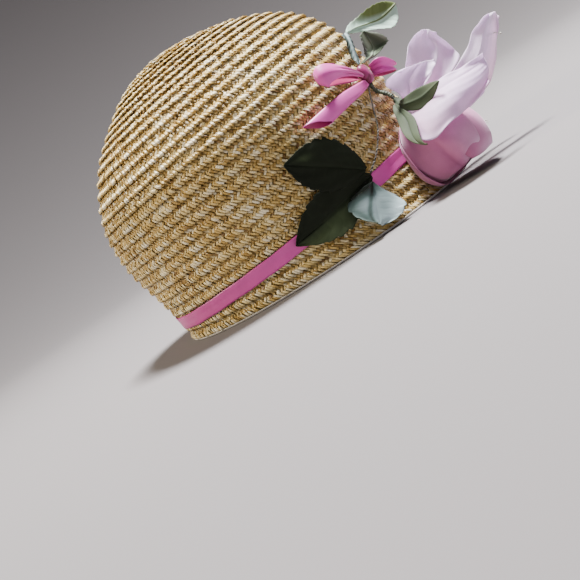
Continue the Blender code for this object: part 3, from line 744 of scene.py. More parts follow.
def declare(grid):
    """Work out the flat size of a sheet of cloth from its middle surface, which nothing then uses.

    Its length is that of its middle line, and its width is that of its widest row."""
    widths = np.linalg.norm(np.diff(grid, axis=1), axis=2).sum(1)
    middle = grid[:, grid.shape[1] // 2]
    length = np.linalg.norm(np.diff(middle, axis=0), axis=1).sum()
    first = grid[1:, :-1] - grid[:-1, :-1]
    second = grid[:-1, 1:] - grid[:-1, :-1]
    area = np.linalg.norm(np.cross(first, second), axis=2).sum()
    flat = (max(float(widths.max()), LEAST_FLAT), max(float(length), LEAST_FLAT))
    area = min(float(area), flat[0] * flat[1])


def spread(rows, columns):
    """Places along a sheet, from 0 to 1, and across it, from -1 to 1."""
    return np.meshgrid(np.linspace(0, 1, rows), np.linspace(-1, 1, columns), indexing="ij")


def sheet_grid(table, rows, columns, place, size, rounded=0.0, relief=None):
    """Grid of points between the two edges that a table gives, cupped where it says so."""
    along, across = spread(rows, columns)
    share = along * (1 - rounded * np.abs(across) ** 3 * along ** 5)
    values = read_table(numbered(table), share)
    left = place(values[..., 0:3] * size)
    right = place(values[..., 3:6] * size)
    grid = left + (right - left) * ((across + 1) / 2)[..., None]
    normals = unit(np.cross(np.gradient(grid, axis=0), np.gradient(grid, axis=1)))
    bulge = values[..., 6] * size * (1 - across ** 2) if values.shape[-1] > 6 else np.zeros_like(along)
    if relief is not None:
        bulge = bulge + relief(along, across)
    return grid + normals * bulge[..., None]


def tube(name, route, radius, finish, slot, sides=10, swell=None):
    """Round solid along a route of points, with closed ends."""
    route = np.asarray(route)
    ahead = unit(np.gradient(route, axis=0))
    side = [np.cross(ahead[0], (0.31, 0.55, 0.77))]
    for step in ahead[1:]:
        side.append(side[-1] - step * np.dot(side[-1], step))
    side = unit(np.array(side))
    other = np.cross(ahead, side)
    turn = np.linspace(0, 2 * math.pi, sides + 1)[:-1]
    wide = radius * (np.ones(len(route)) if swell is None else swell)
    ring = (side[:, None] * np.cos(turn)[None, :, None] + other[:, None] * np.sin(turn)[None, :, None])
    points = route[:, None] + ring * wide[:, None, None]
    index = np.arange(len(route) * sides).reshape(len(route), sides)
    faces = grid_faces(index, closed=True)[:, ::-1]
    start = len(route) * sides
    caps = []
    for row, tip in ((index[0], start), (index[-1], start + 1)):
        order = np.roll(row, -1)
        pair = (order, row) if tip == start else (row, order)
        caps.append(np.stack([pair[0], pair[1], np.full(sides, tip), np.full(sides, tip)], -1))
    points = np.concatenate([points.reshape(-1, 3), route[:1], route[-1:]])
    triangles = np.concatenate([halves(faces),
                                *[cap[:, :3] for cap in caps]])
    return new_piece(name, points, triangles, finish, slot)


def straw_run(angles, climbs, pitch, keep):
    """Straws of plait along a run of places on the hat, given as angles and lower-edge climbs."""
    middle = wall_point(np.clip(climbs + PLAIT_WIDTH / 2, -1, CROWN_ARC * 0.999), angles)
    length = np.concatenate([[0.0], np.cumsum(np.linalg.norm(np.diff(middle, axis=0), axis=1))])
    count = int(length[-1] / STRAW_SPACING)
    starts = np.arange(count) * length[-1] / count
    groups = []
    for number, straw in enumerate((EDGE_STRAW, MIDDLE_STRAW, UPPER_STRAW)):
        slant = -1 if number == 1 else 1
        rise = straw[:, 0]
        run = slant * (rise - rise.mean()) / math.tan(STRAW_LEAN)
        ahead = unit(np.stack([np.gradient(run), np.gradient(rise)], 1))
        shape = (count, 1, 1)
        wide = straw[:, 2] * STRAW_WIDTH / 2 * (1 + rng.normal(0, 0.12, shape)[..., 0])
        begin = (starts + number * STRAW_SPACING / 2 + rng.normal(0, 0.00026, count)).reshape(shape)
        stretch = 1 + rng.normal(0, 0.15, shape)
        tilt = rng.normal(0, 0.00016, shape)
        lift = rng.normal(0, 0.00014, shape)
        along = begin + run[:, None] * stretch + wide[..., None] * STRAW_PLACES * ahead[:, 1:2]
        up = rise[:, None] - wide[..., None] * STRAW_PLACES * ahead[:, 0:1]
        high = straw[:, 1:2] + lift + tilt * STRAW_PLACES + STRAW_DOME * STRAW_HEIGHTS
        spot = np.clip(along, 0, length[-1])
        theta = np.interp(spot, length, angles)
        climb = np.interp(spot, length, climbs) + up
        out = high - ROW_STEP * up / pitch
        pressed = (np.abs(climb) < HATBAND_WIDTH / 2 + 0.0003) & (out > 0)
        out = np.where(pressed, RIBBON_PRESS * out, out)
        points = wall(np.minimum(climb, CROWN_ARC * 0.9995), theta, out)
        shade = np.clip(rng.normal(0.60, 0.23, count), 0, 1).reshape(shape)
        # Painted highlight: straws on a row's lower edge are made lighter than the rest
        shade = shade + (0.11 if number == 0 else -0.03)
        # Painted shade at both ends of each straw, where it passes under, reaching further along the upper
        # straw
        tuck = np.zeros(len(rise))
        tuck[0] = tuck[-1] = 1.0
        if number == 2:
            tuck[-2] = 0.45
        across = STRAW_SIDES + rng.random(shape)
        kept = keep(climb[:, len(rise) // 2, 1])
        groups.append((points[kept], *(np.broadcast_to(values, along.shape)[kept]
                                       for values in (shade, tuck[:, None], across))))
    return groups


def straw_piece(name, groups, finish, node):
    """One object of the straws in groups that have their own numbers of stations."""
    ring = len(STRAW_PLACES)
    fan = np.array([[ring - 1, side, side + 1] for side in range(ring - 2)])
    points = []
    faces = []
    fields = ([], [], [])
    first = 0
    for places, *values in groups:
        count, stations = places.shape[:2]
        index = np.arange(stations * ring).reshape(stations, ring)
        local = np.concatenate([halves(grid_faces(index, closed=True)), fan, fan[:, ::-1] + index[-1, 0]])
        starts = first + np.arange(count)[:, None, None] * stations * ring
        faces.append((local[None] + starts).reshape(-1, 3))
        points.append(places.reshape(-1, 3))
        for field, value in zip(fields, values):
            field.append(value.ravel())
        first += count * stations * ring
    shade, tuck, across = (np.concatenate(field) for field in fields)
    piece = new_piece(name, np.concatenate(points), np.concatenate(faces), finish, "straw",
                      shade=shade, tuck=tuck, across=across)
    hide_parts(node)


def make_straw(finish):
    """Crown of one long spiral of plait, and brim of rings of plait."""
    first, last = -1.0, CROWN_ROWS - 0.7
    samples = np.linspace(first, last, int((last - first) * 240))
    climbs = samples * ROW_PITCH
    angles = samples * 2 * math.pi + math.pi

    def above_seam(climb):
        return climb > -CROWN_LAP

    parts = (("crown_straw_lower", -1.0, 6.0), ("crown_straw_middle", 6.0, 12.0),
             ("crown_straw_upper", 12.0, 18.0), ("crown_straw_top", 18.0, CROWN_ROWS))
    for name, low, high in parts:
        chosen = (samples >= low) & (samples < high + 0.005)
        straw_piece(name, straw_run(angles[chosen], climbs[chosen], ROW_PITCH, above_seam), finish, "crown")

    def below_band(climb):
        return climb < BRIM_LAP

    angles = np.linspace(0, 2 * math.pi, 600)
    groups = []
    for row in range(5):
        climbs = RIM_LIFT + STRAW_WIDTH / 2 + row * BRIM_PITCH - brim_depth(angles)
        groups += straw_run(angles, climbs, BRIM_PITCH, below_band)
    straw_piece("brim_straw", groups, finish, "brim")


def make_shell(finish):
    """Inner face of the straw, behind the plait, stepped row by row."""
    sides = 128
    angles = np.linspace(0, 2 * math.pi, sides + 1)[:-1]
    depth = brim_depth(angles) - RIM_LIFT - 0.0004
    rows = []
    places = []

    def add_row(climb, out):
        rows.append(wall(climb, angles, np.full(sides, out)))
        places.append(np.broadcast_to(climb, sides))

    for share in np.linspace(0, 1, 10)[:-1]:
        add_row(-depth * (1 - share), -0.0015)
    for climb in np.linspace(0, CROWN_ARC * 0.985, 54):
        add_row(np.full(sides, climb), -0.0016)
    for row in range(CROWN_ROWS - 1, 0, -1):
        add_row(np.full(sides, row * ROW_PITCH + 0.0009), -0.0023)
        add_row(np.full(sides, row * ROW_PITCH), -0.0020)
    for share in np.linspace(1, 0, 10):
        add_row(-depth * (1 - share), -0.0020)
    rings = np.array(rows)
    index = np.arange(rings.size // 3).reshape(len(rings), sides)
    quads = grid_faces(np.concatenate([index, index[:1]]), closed=True)
    outer = 9 + 54
    gap = quads.reshape(len(rings), sides, 4)
    quads = np.concatenate([gap[:outer - 1], gap[outer:]]).reshape(-1, 4)
    tip = rings.size // 3
    tops = (wall(np.array([CROWN_ARC]), np.array([0.0]), np.array([-0.0016])),
            wall(np.array([CROWN_ARC]), np.array([0.0]), np.array([-0.0022])))
    high = index[outer - 1]
    low = index[outer]
    caps = np.concatenate([
        np.stack([high, np.full(sides, tip), np.roll(high, -1)], -1),
        np.stack([low, np.roll(low, -1), np.full(sides, tip + 1)], -1)])
    triangles = np.concatenate([halves(quads), caps])
    points = np.concatenate([rings.reshape(-1, 3), *tops])
    around = np.concatenate([np.tile(angles * 0.085, len(rings)), [0.0, 0.0]])
    up = np.concatenate([np.array(places).ravel(), [CROWN_ARC, CROWN_ARC]])
    piece = new_piece("straw_lining", points, triangles, finish, "straw", around=around, up=up)
    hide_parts("crown", "brim")


def ring_cloth(name, grid, finish, slot):
    """Closed band of cloth round the hat, from its cross-sections at the ring's angles."""
    around = np.roll(grid, -1, axis=0) - np.roll(grid, 1, axis=0)
    shift = unit(np.cross(np.gradient(grid, axis=1), around)) * BAND_CLOTH / 2
    loop = np.concatenate([grid + shift, (grid - shift)[:, ::-1]], axis=1)
    index = np.arange(loop.size // 3).reshape(len(grid), -1)
    faces = grid_faces(np.concatenate([index, index[:1]]), closed=True)[:, ::-1]
    tone = np.broadcast_to(0.48 + 0.08 * np.sin(2 * RING_ANGLES)[:, None], loop.shape[:2])
    piece = new_piece(name, loop, faces, finish, slot, tone=tone, inner=np.zeros(loop.shape[:2]))
    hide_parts(name)
    declare(np.concatenate([grid, grid[:1]]))


def make_bands(ribbon, tape):
    """Ribbon round the seam between crown and brim, and tape folded round the rim."""
    angles = RING_ANGLES[:, None]
    along = np.linspace(-1, 1, 11)[None]
    wave = 0.0001 * np.sin(9 * angles) + 0.00012 * np.sin(23 * angles + 1)
    out = 0.0008 + 0.0003 * (1 - along ** 2) + 0.0001 * np.sin(31 * angles) * along
    grid = wall(along * HATBAND_WIDTH / 2 + wave, angles, out)
    ring_cloth("hat_band", grid, ribbon, "ribbon")

    section = read_table(numbered(TAPE_SECTION), np.linspace(0, 1, 17))
    grid = brim_point(section[None, :, 0], angles, section[None, :, 1:])
    ring_cloth("rim_tape", grid, tape, "tape")


def make_bow(finish):
    """Knot, two loops and one tail of ribbon."""
    def loop_relief(along, across):
        fold = 0.0007 * np.sin(3.0 * across + 4 * along) * np.sin(math.pi * along)
        crease = 0.0006 * np.exp(-((along - 0.1) / 0.12) ** 2) * np.sin(9 * across)
        return 0.0011 * (1 - across ** 2) + fold + crease

    for name, table, place in (("bow_loop_left", LEFT_LOOP, along_hat),
                               ("bow_loop_right", RIGHT_LOOP, by_knot)):
        grid = sheet_grid(table, 61, 17, place, BOW_REACH, relief=loop_relief)
        along, across = spread(61, 17)
        # Painted shade: the loop is darker where both its ends go into the knot
        tone = 0.62 - 0.30 * np.exp(-(along / 0.16) ** 2) - 0.30 * np.exp(-((1 - along) / 0.3) ** 2)
        piece = sheet(name, grid, 0.0008, finish, "ribbon", tone)
        declare(grid)

    along, turn = np.meshgrid(np.linspace(0, 1, 41), np.linspace(0, 2 * math.pi, 49), indexing="ij")
    cut = TAIL_SLANT * (1 - np.cos(turn)) / 2 + TAIL_LAP * (1 + np.sin(turn)) / 2
    values = read_table(numbered(TAIL), along * (1 - along ** 3 * cut))
    flat = np.sign(np.cos(turn)) * np.abs(np.cos(turn)) ** 0.8
    crease = 1 + 0.18 * np.sin(3 * turn + 2 * along) * np.exp(-(along / 0.4) ** 2)
    local = values[..., 0:3] + stack(
        0.25 * values[..., 3] * flat, values[..., 3] * flat, values[..., 4] * np.sin(turn) * crease)
    local = local * BOW_TAIL
    local[..., 2] = np.maximum(local[..., 2], 0.0009)
    grid = along_hat(local)
    # Painted shade near the knot, and the outer layer of the sleeve painted lighter than the layer against
    # the hat
    tone = 0.62 - 0.32 * np.exp(-(along / 0.2) ** 2) + 0.1 * np.sin(turn)
    normals = unit(np.cross(np.gradient(grid, axis=0), np.gradient(grid, axis=1)))
    outside = -np.sign((normals * (grid - grid.mean(1, keepdims=True))).sum()) * normals
    outer = grid[:, :-1]
    inner = (grid + outside * 0.0005)[:, :-1]
    rows, sides = outer.shape[:2]
    index = np.arange(rows * sides).reshape(rows, sides)
    under = rows * sides
    quads = grid_faces(index, closed=True)
    faces = [quads, quads[:, ::-1] + under]
    for row in (index[0], index[-1, ::-1]):
        after = np.roll(row, -1)
        faces.append(np.stack([row, after, after + under, row + under], -1))
    piece = new_piece("bow_tail", [outer, inner], np.concatenate(faces), finish, "ribbon",
                      tone=[tone[:, :-1]] * 2, inner=np.repeat([0.0, 1.0], under))
    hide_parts("bow_tail")
    declare(grid)

    levels, turn = np.meshgrid(np.linspace(0, 1, 25), np.linspace(0, 2 * math.pi, 49)[:-1], indexing="ij")
    swell = read_table(KNOT_SWELL, levels)[..., 0]
    across = np.sign(np.cos(turn)) * np.abs(np.cos(turn)) ** 0.7
    up = np.sign(np.sin(turn)) * np.abs(np.sin(turn)) ** 0.7
    first_crease = np.exp(-((np.cos(turn) + 0.7 * np.sin(turn) - 0.2) / 0.13) ** 2)
    second_crease = np.exp(-((np.cos(turn) - 0.5 * np.sin(turn) + 0.5) / 0.10) ** 2)
    third_crease = np.exp(-((0.3 * np.cos(turn) + np.sin(turn) + 0.1) / 0.12) ** 2)
    groove = 1 - 0.16 * first_crease - 0.12 * second_crease - 0.12 * third_crease
    local = stack(swell * groove * across * KNOT_LENGTH / 2, swell * up * KNOT_HEIGHT / 2,
                  0.0003 + levels * KNOT_DEPTH)
    points = by_knot(local)
    index = np.arange(levels.size).reshape(levels.shape)
    faces = grid_faces(index, closed=True)
    ends = [by_knot(np.array([0.0, 0.0, 0.0003])), by_knot(np.array([0.0, 0.0, 0.0003 + 0.97 * KNOT_DEPTH]))]
    low, high = index[0], index[-1]
    count = levels.size
    caps = np.concatenate([np.stack([low, np.roll(low, -1), np.full(48, count)], -1),
                           np.stack([high, np.full(48, count + 1), np.roll(high, -1)], -1)])
    triangles = np.concatenate([halves(faces), caps])
    # The knot is painted near the darkest ribbon tone as painted shade, darker still in its creases and
    # lighter further out from the hat
    folds = first_crease + second_crease + third_crease
    tone = np.concatenate([(0.02 + 0.14 * levels ** 2 - 0.20 * folds).ravel(), [0.0, 0.1]])
    piece = new_piece("bow_knot", np.concatenate([points.reshape(-1, 3), ends]), triangles, finish, "ribbon",
                      tone=tone, inner=np.zeros(len(tone)))
    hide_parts("bow_knot")


def smooth_route(points, count):
    return read_table(numbered(np.array(points)), np.linspace(0, 1, count))


def make_stems(green, grey, white):
    """Wrapped stem of the rose and thread-wrapped wire of the leaves."""
    base, axes = rose_frame()
    below = -1.06 * KNOT_HEIGHT / 2 - 0.0003
    rear = base + axes[0] * (CALYX_REAR - 0.0003)
    top = on_hat(KNOT_CLIMB, KNOT_ANGLE, STEM_ASIDE, below + 0.001, ROSE_STEM)
    low = on_hat(KNOT_CLIMB, KNOT_ANGLE, 0.8 * STEM_ASIDE, below - 1.5 * ROSE_STEM, ROSE_STEM)
    back = rear - axes[0] * 1.5 * ROSE_STEM
    route = smooth_route((top, low, (low + back) / 2, back, rear), 90)
    turns = np.linspace(0, 1, 90)
    swell = 1 + 0.10 * np.sin(turns * 70) + 0.12 * np.sin(turns * 23 + 1)
    piece = tube("rose_stem", route, ROSE_STEM / 2, green, "stem", 14, swell)
    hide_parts("rose_stem")

    aside = STEM_ASIDE + (ROSE_STEM + LEAF_WIRE) / 2 + 0.0003
    first = aside / turn_radius(KNOT_CLIMB, KNOT_ANGLE)
    around = LEAF_ANGLE - KNOT_ANGLE - first
    start = KNOT_CLIMB + below + 0.001
    end = LEAF_CLIMB - LEAF_WIRE
    angles = KNOT_ANGLE + first + WIRE_ROUTE[:, 0] * around
    points = wall(start + WIRE_ROUTE[:, 1] * (end - start), angles, WIRE_ROUTE[:, 2] * WIRE_STANDOFF)
    route = smooth_route(points, 240)
    piece = tube("leaf_wire", route, 0.36 * LEAF_WIRE, grey, "wire", 10)
    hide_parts("leaf_wire")
    ahead = unit(np.gradient(route, axis=0))
    side = unit(np.cross(ahead, (0.31, 0.55, 0.77)))
    other = np.cross(ahead, side)
    for name, phase, finish, first in (("leaf_wire_thread", 0.0, white, 110),
                                       ("leaf_wire_strand", math.pi, grey, 0)):
        turn = np.linspace(0, 20 * 2 * math.pi, 240)[:, None] + phase
        wound = route + 0.40 * LEAF_WIRE * (side * np.cos(turn) + other * np.sin(turn))
        piece = tube(name, wound[first:], 0.16 * LEAF_WIRE, finish, "wire", 6)
        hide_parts("leaf_wire")


def leaf_grid(outline, length, base, heading, teeth=9, wave=0.02, twist=0.0):
    """Leaf over the hat with a toothed edge, and where its veins and its midrib are."""
    along, across = spread(71, 41)
    values = read_table(outline, along)
    half = np.where(across > 0, values[..., 0], values[..., 1])
    saw = (along * teeth + 0.3 * np.sin(7 * along)) % 1.0
    tooth = 1 + 0.12 * (saw - 0.5) * np.sin(math.pi * along) ** 0.5 * np.abs(across) ** 4
    turn = math.radians(heading)
    ahead = np.array([math.cos(turn), math.sin(turn)])
    aside = np.array([-math.sin(turn), math.cos(turn)])
    swing = half * across * tooth
    flat = np.array(base) + length * (along[..., None] * ahead + swing[..., None] * aside)
    veins = along * 7.5 - np.abs(across) * 1.3 + 0.15 * np.sin(9 * across)
    ridge = np.exp(-(((veins % 1.0) - 0.5) / 0.10) ** 2) * np.minimum(np.abs(across) * 6, 1)
    rib = np.exp(-(across / 0.05) ** 2)
    lift = values[..., 2] + wave * np.sin(5 * along + 2 * across) * across ** 2
    lift = lift + twist * across * (along - 0.2)
    lift = lift - 0.003 * ridge - 0.012 * rib + 0.018 * np.abs(across) ** 0.7
    lift = lift + 0.007 * np.sin(13 * along + 3 * across) * np.sin(7 * across)
    grid = on_hat(LEAF_CLIMB, LEAF_ANGLE, flat[..., 0], flat[..., 1], np.maximum(lift * length, 0.0010))
    return grid, along, across, ridge, rib


def make_lower_leaves(dark, pale):
    """Three leaves that lie over the band, joined at the end of the wire."""
    grid, along, across, ridge, rib = leaf_grid(UPPER_OUTLINE, UPPER_LEAF, (0.0020, 0.0020), 43.0)
    # Painted sheen: a pale patch towards the tip of the leaf
    painted_sheen_patch = np.exp(-((along - 0.78) / 0.12) ** 2 - ((across - 0.35) / 0.25) ** 2)
    tone = 0.20 + 0.12 * across + 0.18 * rib + 0.07 * ridge + 0.5 * painted_sheen_patch
    piece = sheet("leaf_upper", grid, CLOTH, dark, "dark_leaf", np.clip(tone, 0, 1), inside=HAT_CENTRE)
    declare(grid)

    grid, along, across, ridge, rib = leaf_grid(LOWER_OUTLINE, LOWER_LEAF, (0.0000, -0.0030), -4.0)
    # Painted sheen: one half of the leaf is lighter, more so away from its base
    painted_sheen_half = np.clip(along * 2, 0, 1) / (1 + np.exp((across + 0.05) * 14))
    tone = 0.16 + painted_sheen_half * (0.55 + 0.25 * np.sin(4 * along + 2 * across)) + 0.15 * rib + 0.07 * ridge
    piece = sheet("leaf_lower", grid, CLOTH, dark, "dark_leaf", np.clip(tone, 0, 1), inside=HAT_CENTRE)
    declare(grid)

    grid, along, across, ridge, rib = leaf_grid(CURLED_OUTLINE, CURLED_LEAF, (0.0025, -0.0060), -48.0,
                                                teeth=5, wave=0.13, twist=0.12)
    # Painted shadow over the base of the leaf and painted shade in its crease; darker also at the far corner
    shadow = 1 / (1 + np.exp((along - 0.28 - 0.22 * across) * 14))
    crease = np.exp(-((across - 0.15 - 0.5 * (along - 0.4)) / 0.09) ** 2)
    corner = np.exp(-((along - 0.90) / 0.3) ** 2 - ((across - 0.75) / 0.35) ** 2)
    tone = 0.84 - 0.80 * shadow - 0.70 * corner - 0.45 * crease + 0.12 * np.sin(6 * along - 4 * across)
    piece = sheet("leaf_curled", grid, CLOTH, pale, "pale_leaf", np.clip(tone, 0, 1), inside=HAT_CENTRE)
    declare(grid)


def make_top_leaves(mint, grey, dark):
    """Three leaves that stand up behind the knot."""
    def blade(along, across):
        veins = ((along * 7 - np.abs(across)) % 1.0 - 0.5) / 0.12
        return (0.0004 * np.exp(-veins ** 2) * np.abs(across)
                - 0.0010 * np.exp(-(across / 0.07) ** 2) + 0.0010 * np.sin(7 * along) * across ** 2)

    for name, table, finish in (("top_leaf_large", LARGE_TOP_LEAF, mint),
                                ("top_leaf_narrow", NARROW_TOP_LEAF, grey),
                                ("top_leaf_curled", CURLED_TOP_LEAF, dark)):
        grid = sheet_grid(table, 61, 33, by_knot, TOP_LEAF, rounded=0.10, relief=blade)
        along, across = spread(61, 33)
        saw = ((along * 10) % 1.0 - 0.5) * np.abs(across) ** 6 * np.sin(math.pi * along)
        grid = grid + (grid - grid.mean(1, keepdims=True)) * 0.10 * saw[..., None]
        rib = np.exp(-(across / 0.05) ** 2) * np.clip(along * 2, 0, 1)
        if name == "top_leaf_large":
            olive = 1 / (1 + np.exp((across + 0.25 + 0.25 * np.sin(5 * along)) * 9))
            tone = np.clip(0.75 - 0.45 * olive * np.clip(along * 3 - 0.6, 0, 1) - 0.75 * rib, 0, 1)
        else:
            tone = np.clip(0.5 + 0.35 * np.sin(4 * along + 4 * across) + 0.2 * across - 0.3 * rib, 0, 1)
        piece = sheet(name, grid, CLOTH, finish, "pale_leaf", tone, inside=HAT_CENTRE)
        declare(grid)


def make_rose(bud, petal, green, white):
    """Rose: calyx, sepals, folded bud, pale outer petals and a few stamens."""
    axis = by_rose(np.array([BUD_LENGTH / 2, 0.0, 0.0]))
    levels, turn = np.meshgrid(np.linspace(0, 1, 21), np.linspace(0, 2 * math.pi, 37)[:-1], indexing="ij")
    radius = read_table(CALYX_BELL, levels)[..., 0] * CALYX_RADIUS * (1 + 0.05 * np.cos(5 * turn))
    points = by_rose(stack(CALYX_REAR + levels * CALYX_LENGTH, radius * np.cos(turn), radius * np.sin(turn)))
    index = np.arange(levels.size).reshape(levels.shape)
    faces = grid_faces(index, closed=True)
    ends = by_rose(np.array([[CALYX_REAR, 0.0, 0.0], [CALYX_REAR + CALYX_LENGTH, 0.0, 0.0]]))
    low, high = index[0], index[-1]
    caps = np.concatenate([np.stack([low, np.roll(low, -1), np.full(36, levels.size)], -1),
                           np.stack([high, np.full(36, levels.size + 1), np.roll(high, -1)], -1)])
    triangles = np.concatenate([halves(faces), caps])[:, ::-1]
    tone = np.concatenate([(0.3 + 0.4 * levels).ravel(), [0.3, 0.7]])
    piece = new_piece("rose_calyx", np.concatenate([points.reshape(-1, 3), ends]), triangles, green, "stem",
                      tone=tone, inner=np.zeros(len(tone)))
    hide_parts("rose_calyx")

    def sepal_relief(along, across):
        return 0.0006 * np.abs(across) - 0.0004 * np.exp(-(across / 0.1) ** 2) + 0.0004 * np.sin(11 * along)

    for name, table in (("sepal_upper", UPPER_SEPAL), ("sepal_lower", LOWER_SEPAL)):
        grid = sheet_grid(table, 49, 17, by_rose, BUD_LENGTH, rounded=0.05, relief=sepal_relief)
        along, across = spread(49, 17)
        tone = 0.55 + 0.25 * along - 0.25 * np.exp(-(across / 0.15) ** 2) + 0.1 * np.sin(9 * along)
        piece = sheet(name, grid, CLOTH, green, "stem", np.clip(tone, 0, 1), inside=axis)
        declare(grid)

    wraps = [("bud_petal_%d" % (number + 1), 90 + 120 * number, 1.0, 168, (1.03, 1.08, 1.10)[number])
             for number in range(3)]
    inner = [("bud_inner_petal_%d" % (number + 1), 30 + 120 * number, 0.84 - 0.12 * number, 210, 1.0)
             for number in range(3)]
    for name, middle, scale, wrap, reach in wraps + inner:
        along, across = spread(51, 51)
        place = 0.09 + along * 0.91 * (1 - 0.05 * np.abs(across) ** 3)
        values = read_table(BUD_WRAP, place)
        angle = math.radians(middle) + across / 2 * values[..., 1] * math.radians(wrap)
        spiral = 1 - 0.11 * (0.5 + across / 2 * values[..., 1])
        folds = along * (0.016 * np.sin(7 * angle + middle) + 0.008 * np.sin(17 * angle + 3 * along))
        pleat = 0.05 * along * np.exp(-np.abs(across + 0.45 - 0.3 * along) / 0.10)
        lip = 0.05 * np.exp(-((1 - along) / 0.05) ** 2) * (0.4 + np.sin(3 * angle + middle))
        closing = 1 - (1 - scale) * np.clip(along * 2, 0, 1) - (0.16 if scale < 1 else 0.0) * along ** 6
        radius = values[..., 0] * BUD_RADIUS * spiral * (1 + folds - pleat + lip) * closing
        radius = radius - 0.0012 * (1 if scale < 1 else 0)
        slope = 1 + (reach - 1) * along + MOUTH_SLOPE * along ** 3 * np.cos(angle - MOUTH_TURN)
        grid = round_rose(place * BUD_LENGTH * slope, np.maximum(radius, 0.0012), angle)
        # Tone varies round the bud and is paler at the lip; painted shade in the pleat and along the inner
        # edge that lies under the next petal
        tone = 0.50 + 0.22 * np.sin(2.2 * angle + 1) * along + 0.20 * np.exp(-((1 - along) / 0.05) ** 2)
        tone = tone - 5 * pleat * along - 0.15 * np.exp(-((1 - across) / 0.20) ** 2)
        node = name if scale == 1.0 else "bud_core"
        piece = sheet(name, grid, CLOTH, bud, "bud", np.clip(tone, 0, 1), node, inside=axis)
        declare(grid)

    along, turn = np.meshgrid(np.linspace(0, 1, 41), np.linspace(0, HEART_TURN, 121), indexing="ij")
    barrel = np.sin(math.pi * (0.12 + 0.72 * along)) ** 0.6
    radius = (0.10 + 0.34 * turn / HEART_TURN) * BUD_RADIUS * barrel
    grid = round_rose((0.10 + 0.84 * along) * BUD_LENGTH, radius, turn)
    piece = sheet("bud_heart", grid, CLOTH, bud, "bud", 0.25 + 0.3 * along, "bud_core")
    declare(grid)

    def petal_relief(seed, curl, fold, fold_place):
        def relief(along, across):
            ruffle = 0.0013 * np.sin(9 * along + seed) * np.abs(across) ** 3 * np.sin(math.pi * along)
            ruffle = ruffle + 0.0005 * np.sin(26 * along + 3 * across) * across ** 6
            crease = 0.0007 * np.sin(5 * across + 2.5 * along + seed) * along * (1.2 - along)
            crease = crease + 0.00009 * np.sin(21 * across + 4 * np.sin(3 * along + seed)) * along
            roll = curl * (np.maximum(np.abs(across) - 0.7, 0) / 0.3) ** 2 * along
            ridge = fold * np.exp(-np.abs(across - fold_place) / 0.22) * np.sin(math.pi * along) ** 0.7
            return ruffle + crease + roll + ridge
        return relief

    petals = (("petal_front", FRONT_PETAL, 1.0, -0.0026, 0.0012, -0.55, 0.06),
              ("petal_tall", TALL_PETAL, 2.4, -0.0020, -0.0018, -0.35, 0.10),
              ("petal_upper", UPPER_PETAL, 0.3, -0.0030, -0.0034, 0.20, 0.05),
              ("petal_left", LEFT_PETAL, 4.0, -0.0016, -0.0024, 0.10, 0.08),
              ("petal_back", BACK_PETAL, 5.2, 0.0014, 0.0015, 0.00, 0.12))
    for name, table, seed, curl, fold, fold_place, rounded in petals:
        relief = petal_relief(seed, curl, fold, fold_place)
        grid = sheet_grid(table, 61, 41, by_rose, BUD_LENGTH, rounded=rounded, relief=relief)
        along, across = spread(61, 41)
        tone = 0.45 + 0.55 * np.clip(along * 1.8, 0, 1) + 0.12 * np.sin(6 * across + seed) * (1 - along)
        if name == "petal_tall":
            tone = tone - 0.80 * np.clip(across + 0.2, 0, 1) * (1 - 0.35 * along)
        if name == "petal_front":
            tone = tone - 0.35 * np.clip(across, 0, 1) * np.clip(along * 2 - 0.6, 0, 1)
        piece = sheet(name, grid, CLOTH, petal, "petal", np.clip(tone, 0, 1), inside=axis)
        declare(grid)

    stamens = (("stamen_long", (0.15, 0.82, -0.985), (0.204, 0.82, -1.255), 0.0007),
               ("stamen_short", (0.82, 0.26, -0.34), (0.885, 0.31, -0.40), 0.0008))
    for name, start, end, bead in stamens:
        start = np.array(start) * BUD_LENGTH
        end = np.array(end) * BUD_LENGTH
        share = np.linspace(0, 1, 40)[:, None]
        bow = np.sin(math.pi * share) * np.array([0.0, 0.001, -0.001])
        route = by_rose(start + (end - start) * share + bow)
        left = 1 - share[:, 0]
        swell = 1 + 2.6 * np.exp(-(left / 0.035) ** 2) * np.sqrt(np.clip((left + 0.01) * 40, 0, 1))
        tube(name, route, 0.4 * bead, white, "petal", 10, swell)


def make_camera():
    """Camera at the photograph's angle to the hat, fitted to its outline and its rows."""
    azimuth = math.radians(-92.27)
    distance = 0.64119
    height = 0.07965
    focal_pixels = 979.84
    aim = Vector((0.0, 0.0, 0.080))
    aim_pixel = (262.32, 146.47)
    roll = math.radians(32.91)
    place = Vector((math.sin(azimuth) * distance, -math.cos(azimuth) * distance, height))
    data = bpy.data.cameras.new("camera")
    data.sensor_fit = "HORIZONTAL"
    data.sensor_width = 36.0
    data.lens = focal_pixels / 580 * 36.0
    data.clip_start = 0.01
    camera = bpy.data.objects.new("camera", data)
    bpy.context.scene.collection.objects.link(camera)
    bpy.context.scene.camera = camera

    # The ray through the aim's pixel points at the aim, and the hat's upright leans by the roll
    ahead = (aim - place).normalized()
    local = Vector((aim_pixel[0] - 290, 290 - aim_pixel[1], -focal_pixels)).normalized()
    turn = local.rotation_difference(ahead).to_matrix()

    def lean(spin):
        rotation = Matrix.Rotation(spin, 3, ahead) @ turn
        low = rotation.transposed() @ (aim - place)
        high = rotation.transposed() @ (aim + Vector((0, 0, 0.001)) - place)
        across = high.x / -high.z - low.x / -low.z
        up = high.y / -high.z - low.y / -low.z
        return math.atan2(across, up), rotation

    def miss(spin):
        return (lean(spin)[0] + roll + math.pi) % (2 * math.pi) - math.pi

    spin = min((math.radians(step) for step in range(-180, 180, 5)), key=lambda value: abs(miss(value)))
    for _ in range(20):
        slope = (miss(spin + 1e-4) - miss(spin)) / 1e-4
        spin -= miss(spin) / slope
    camera.matrix_world = Matrix.Translation(place) @ lean(spin)[1].to_4x4()


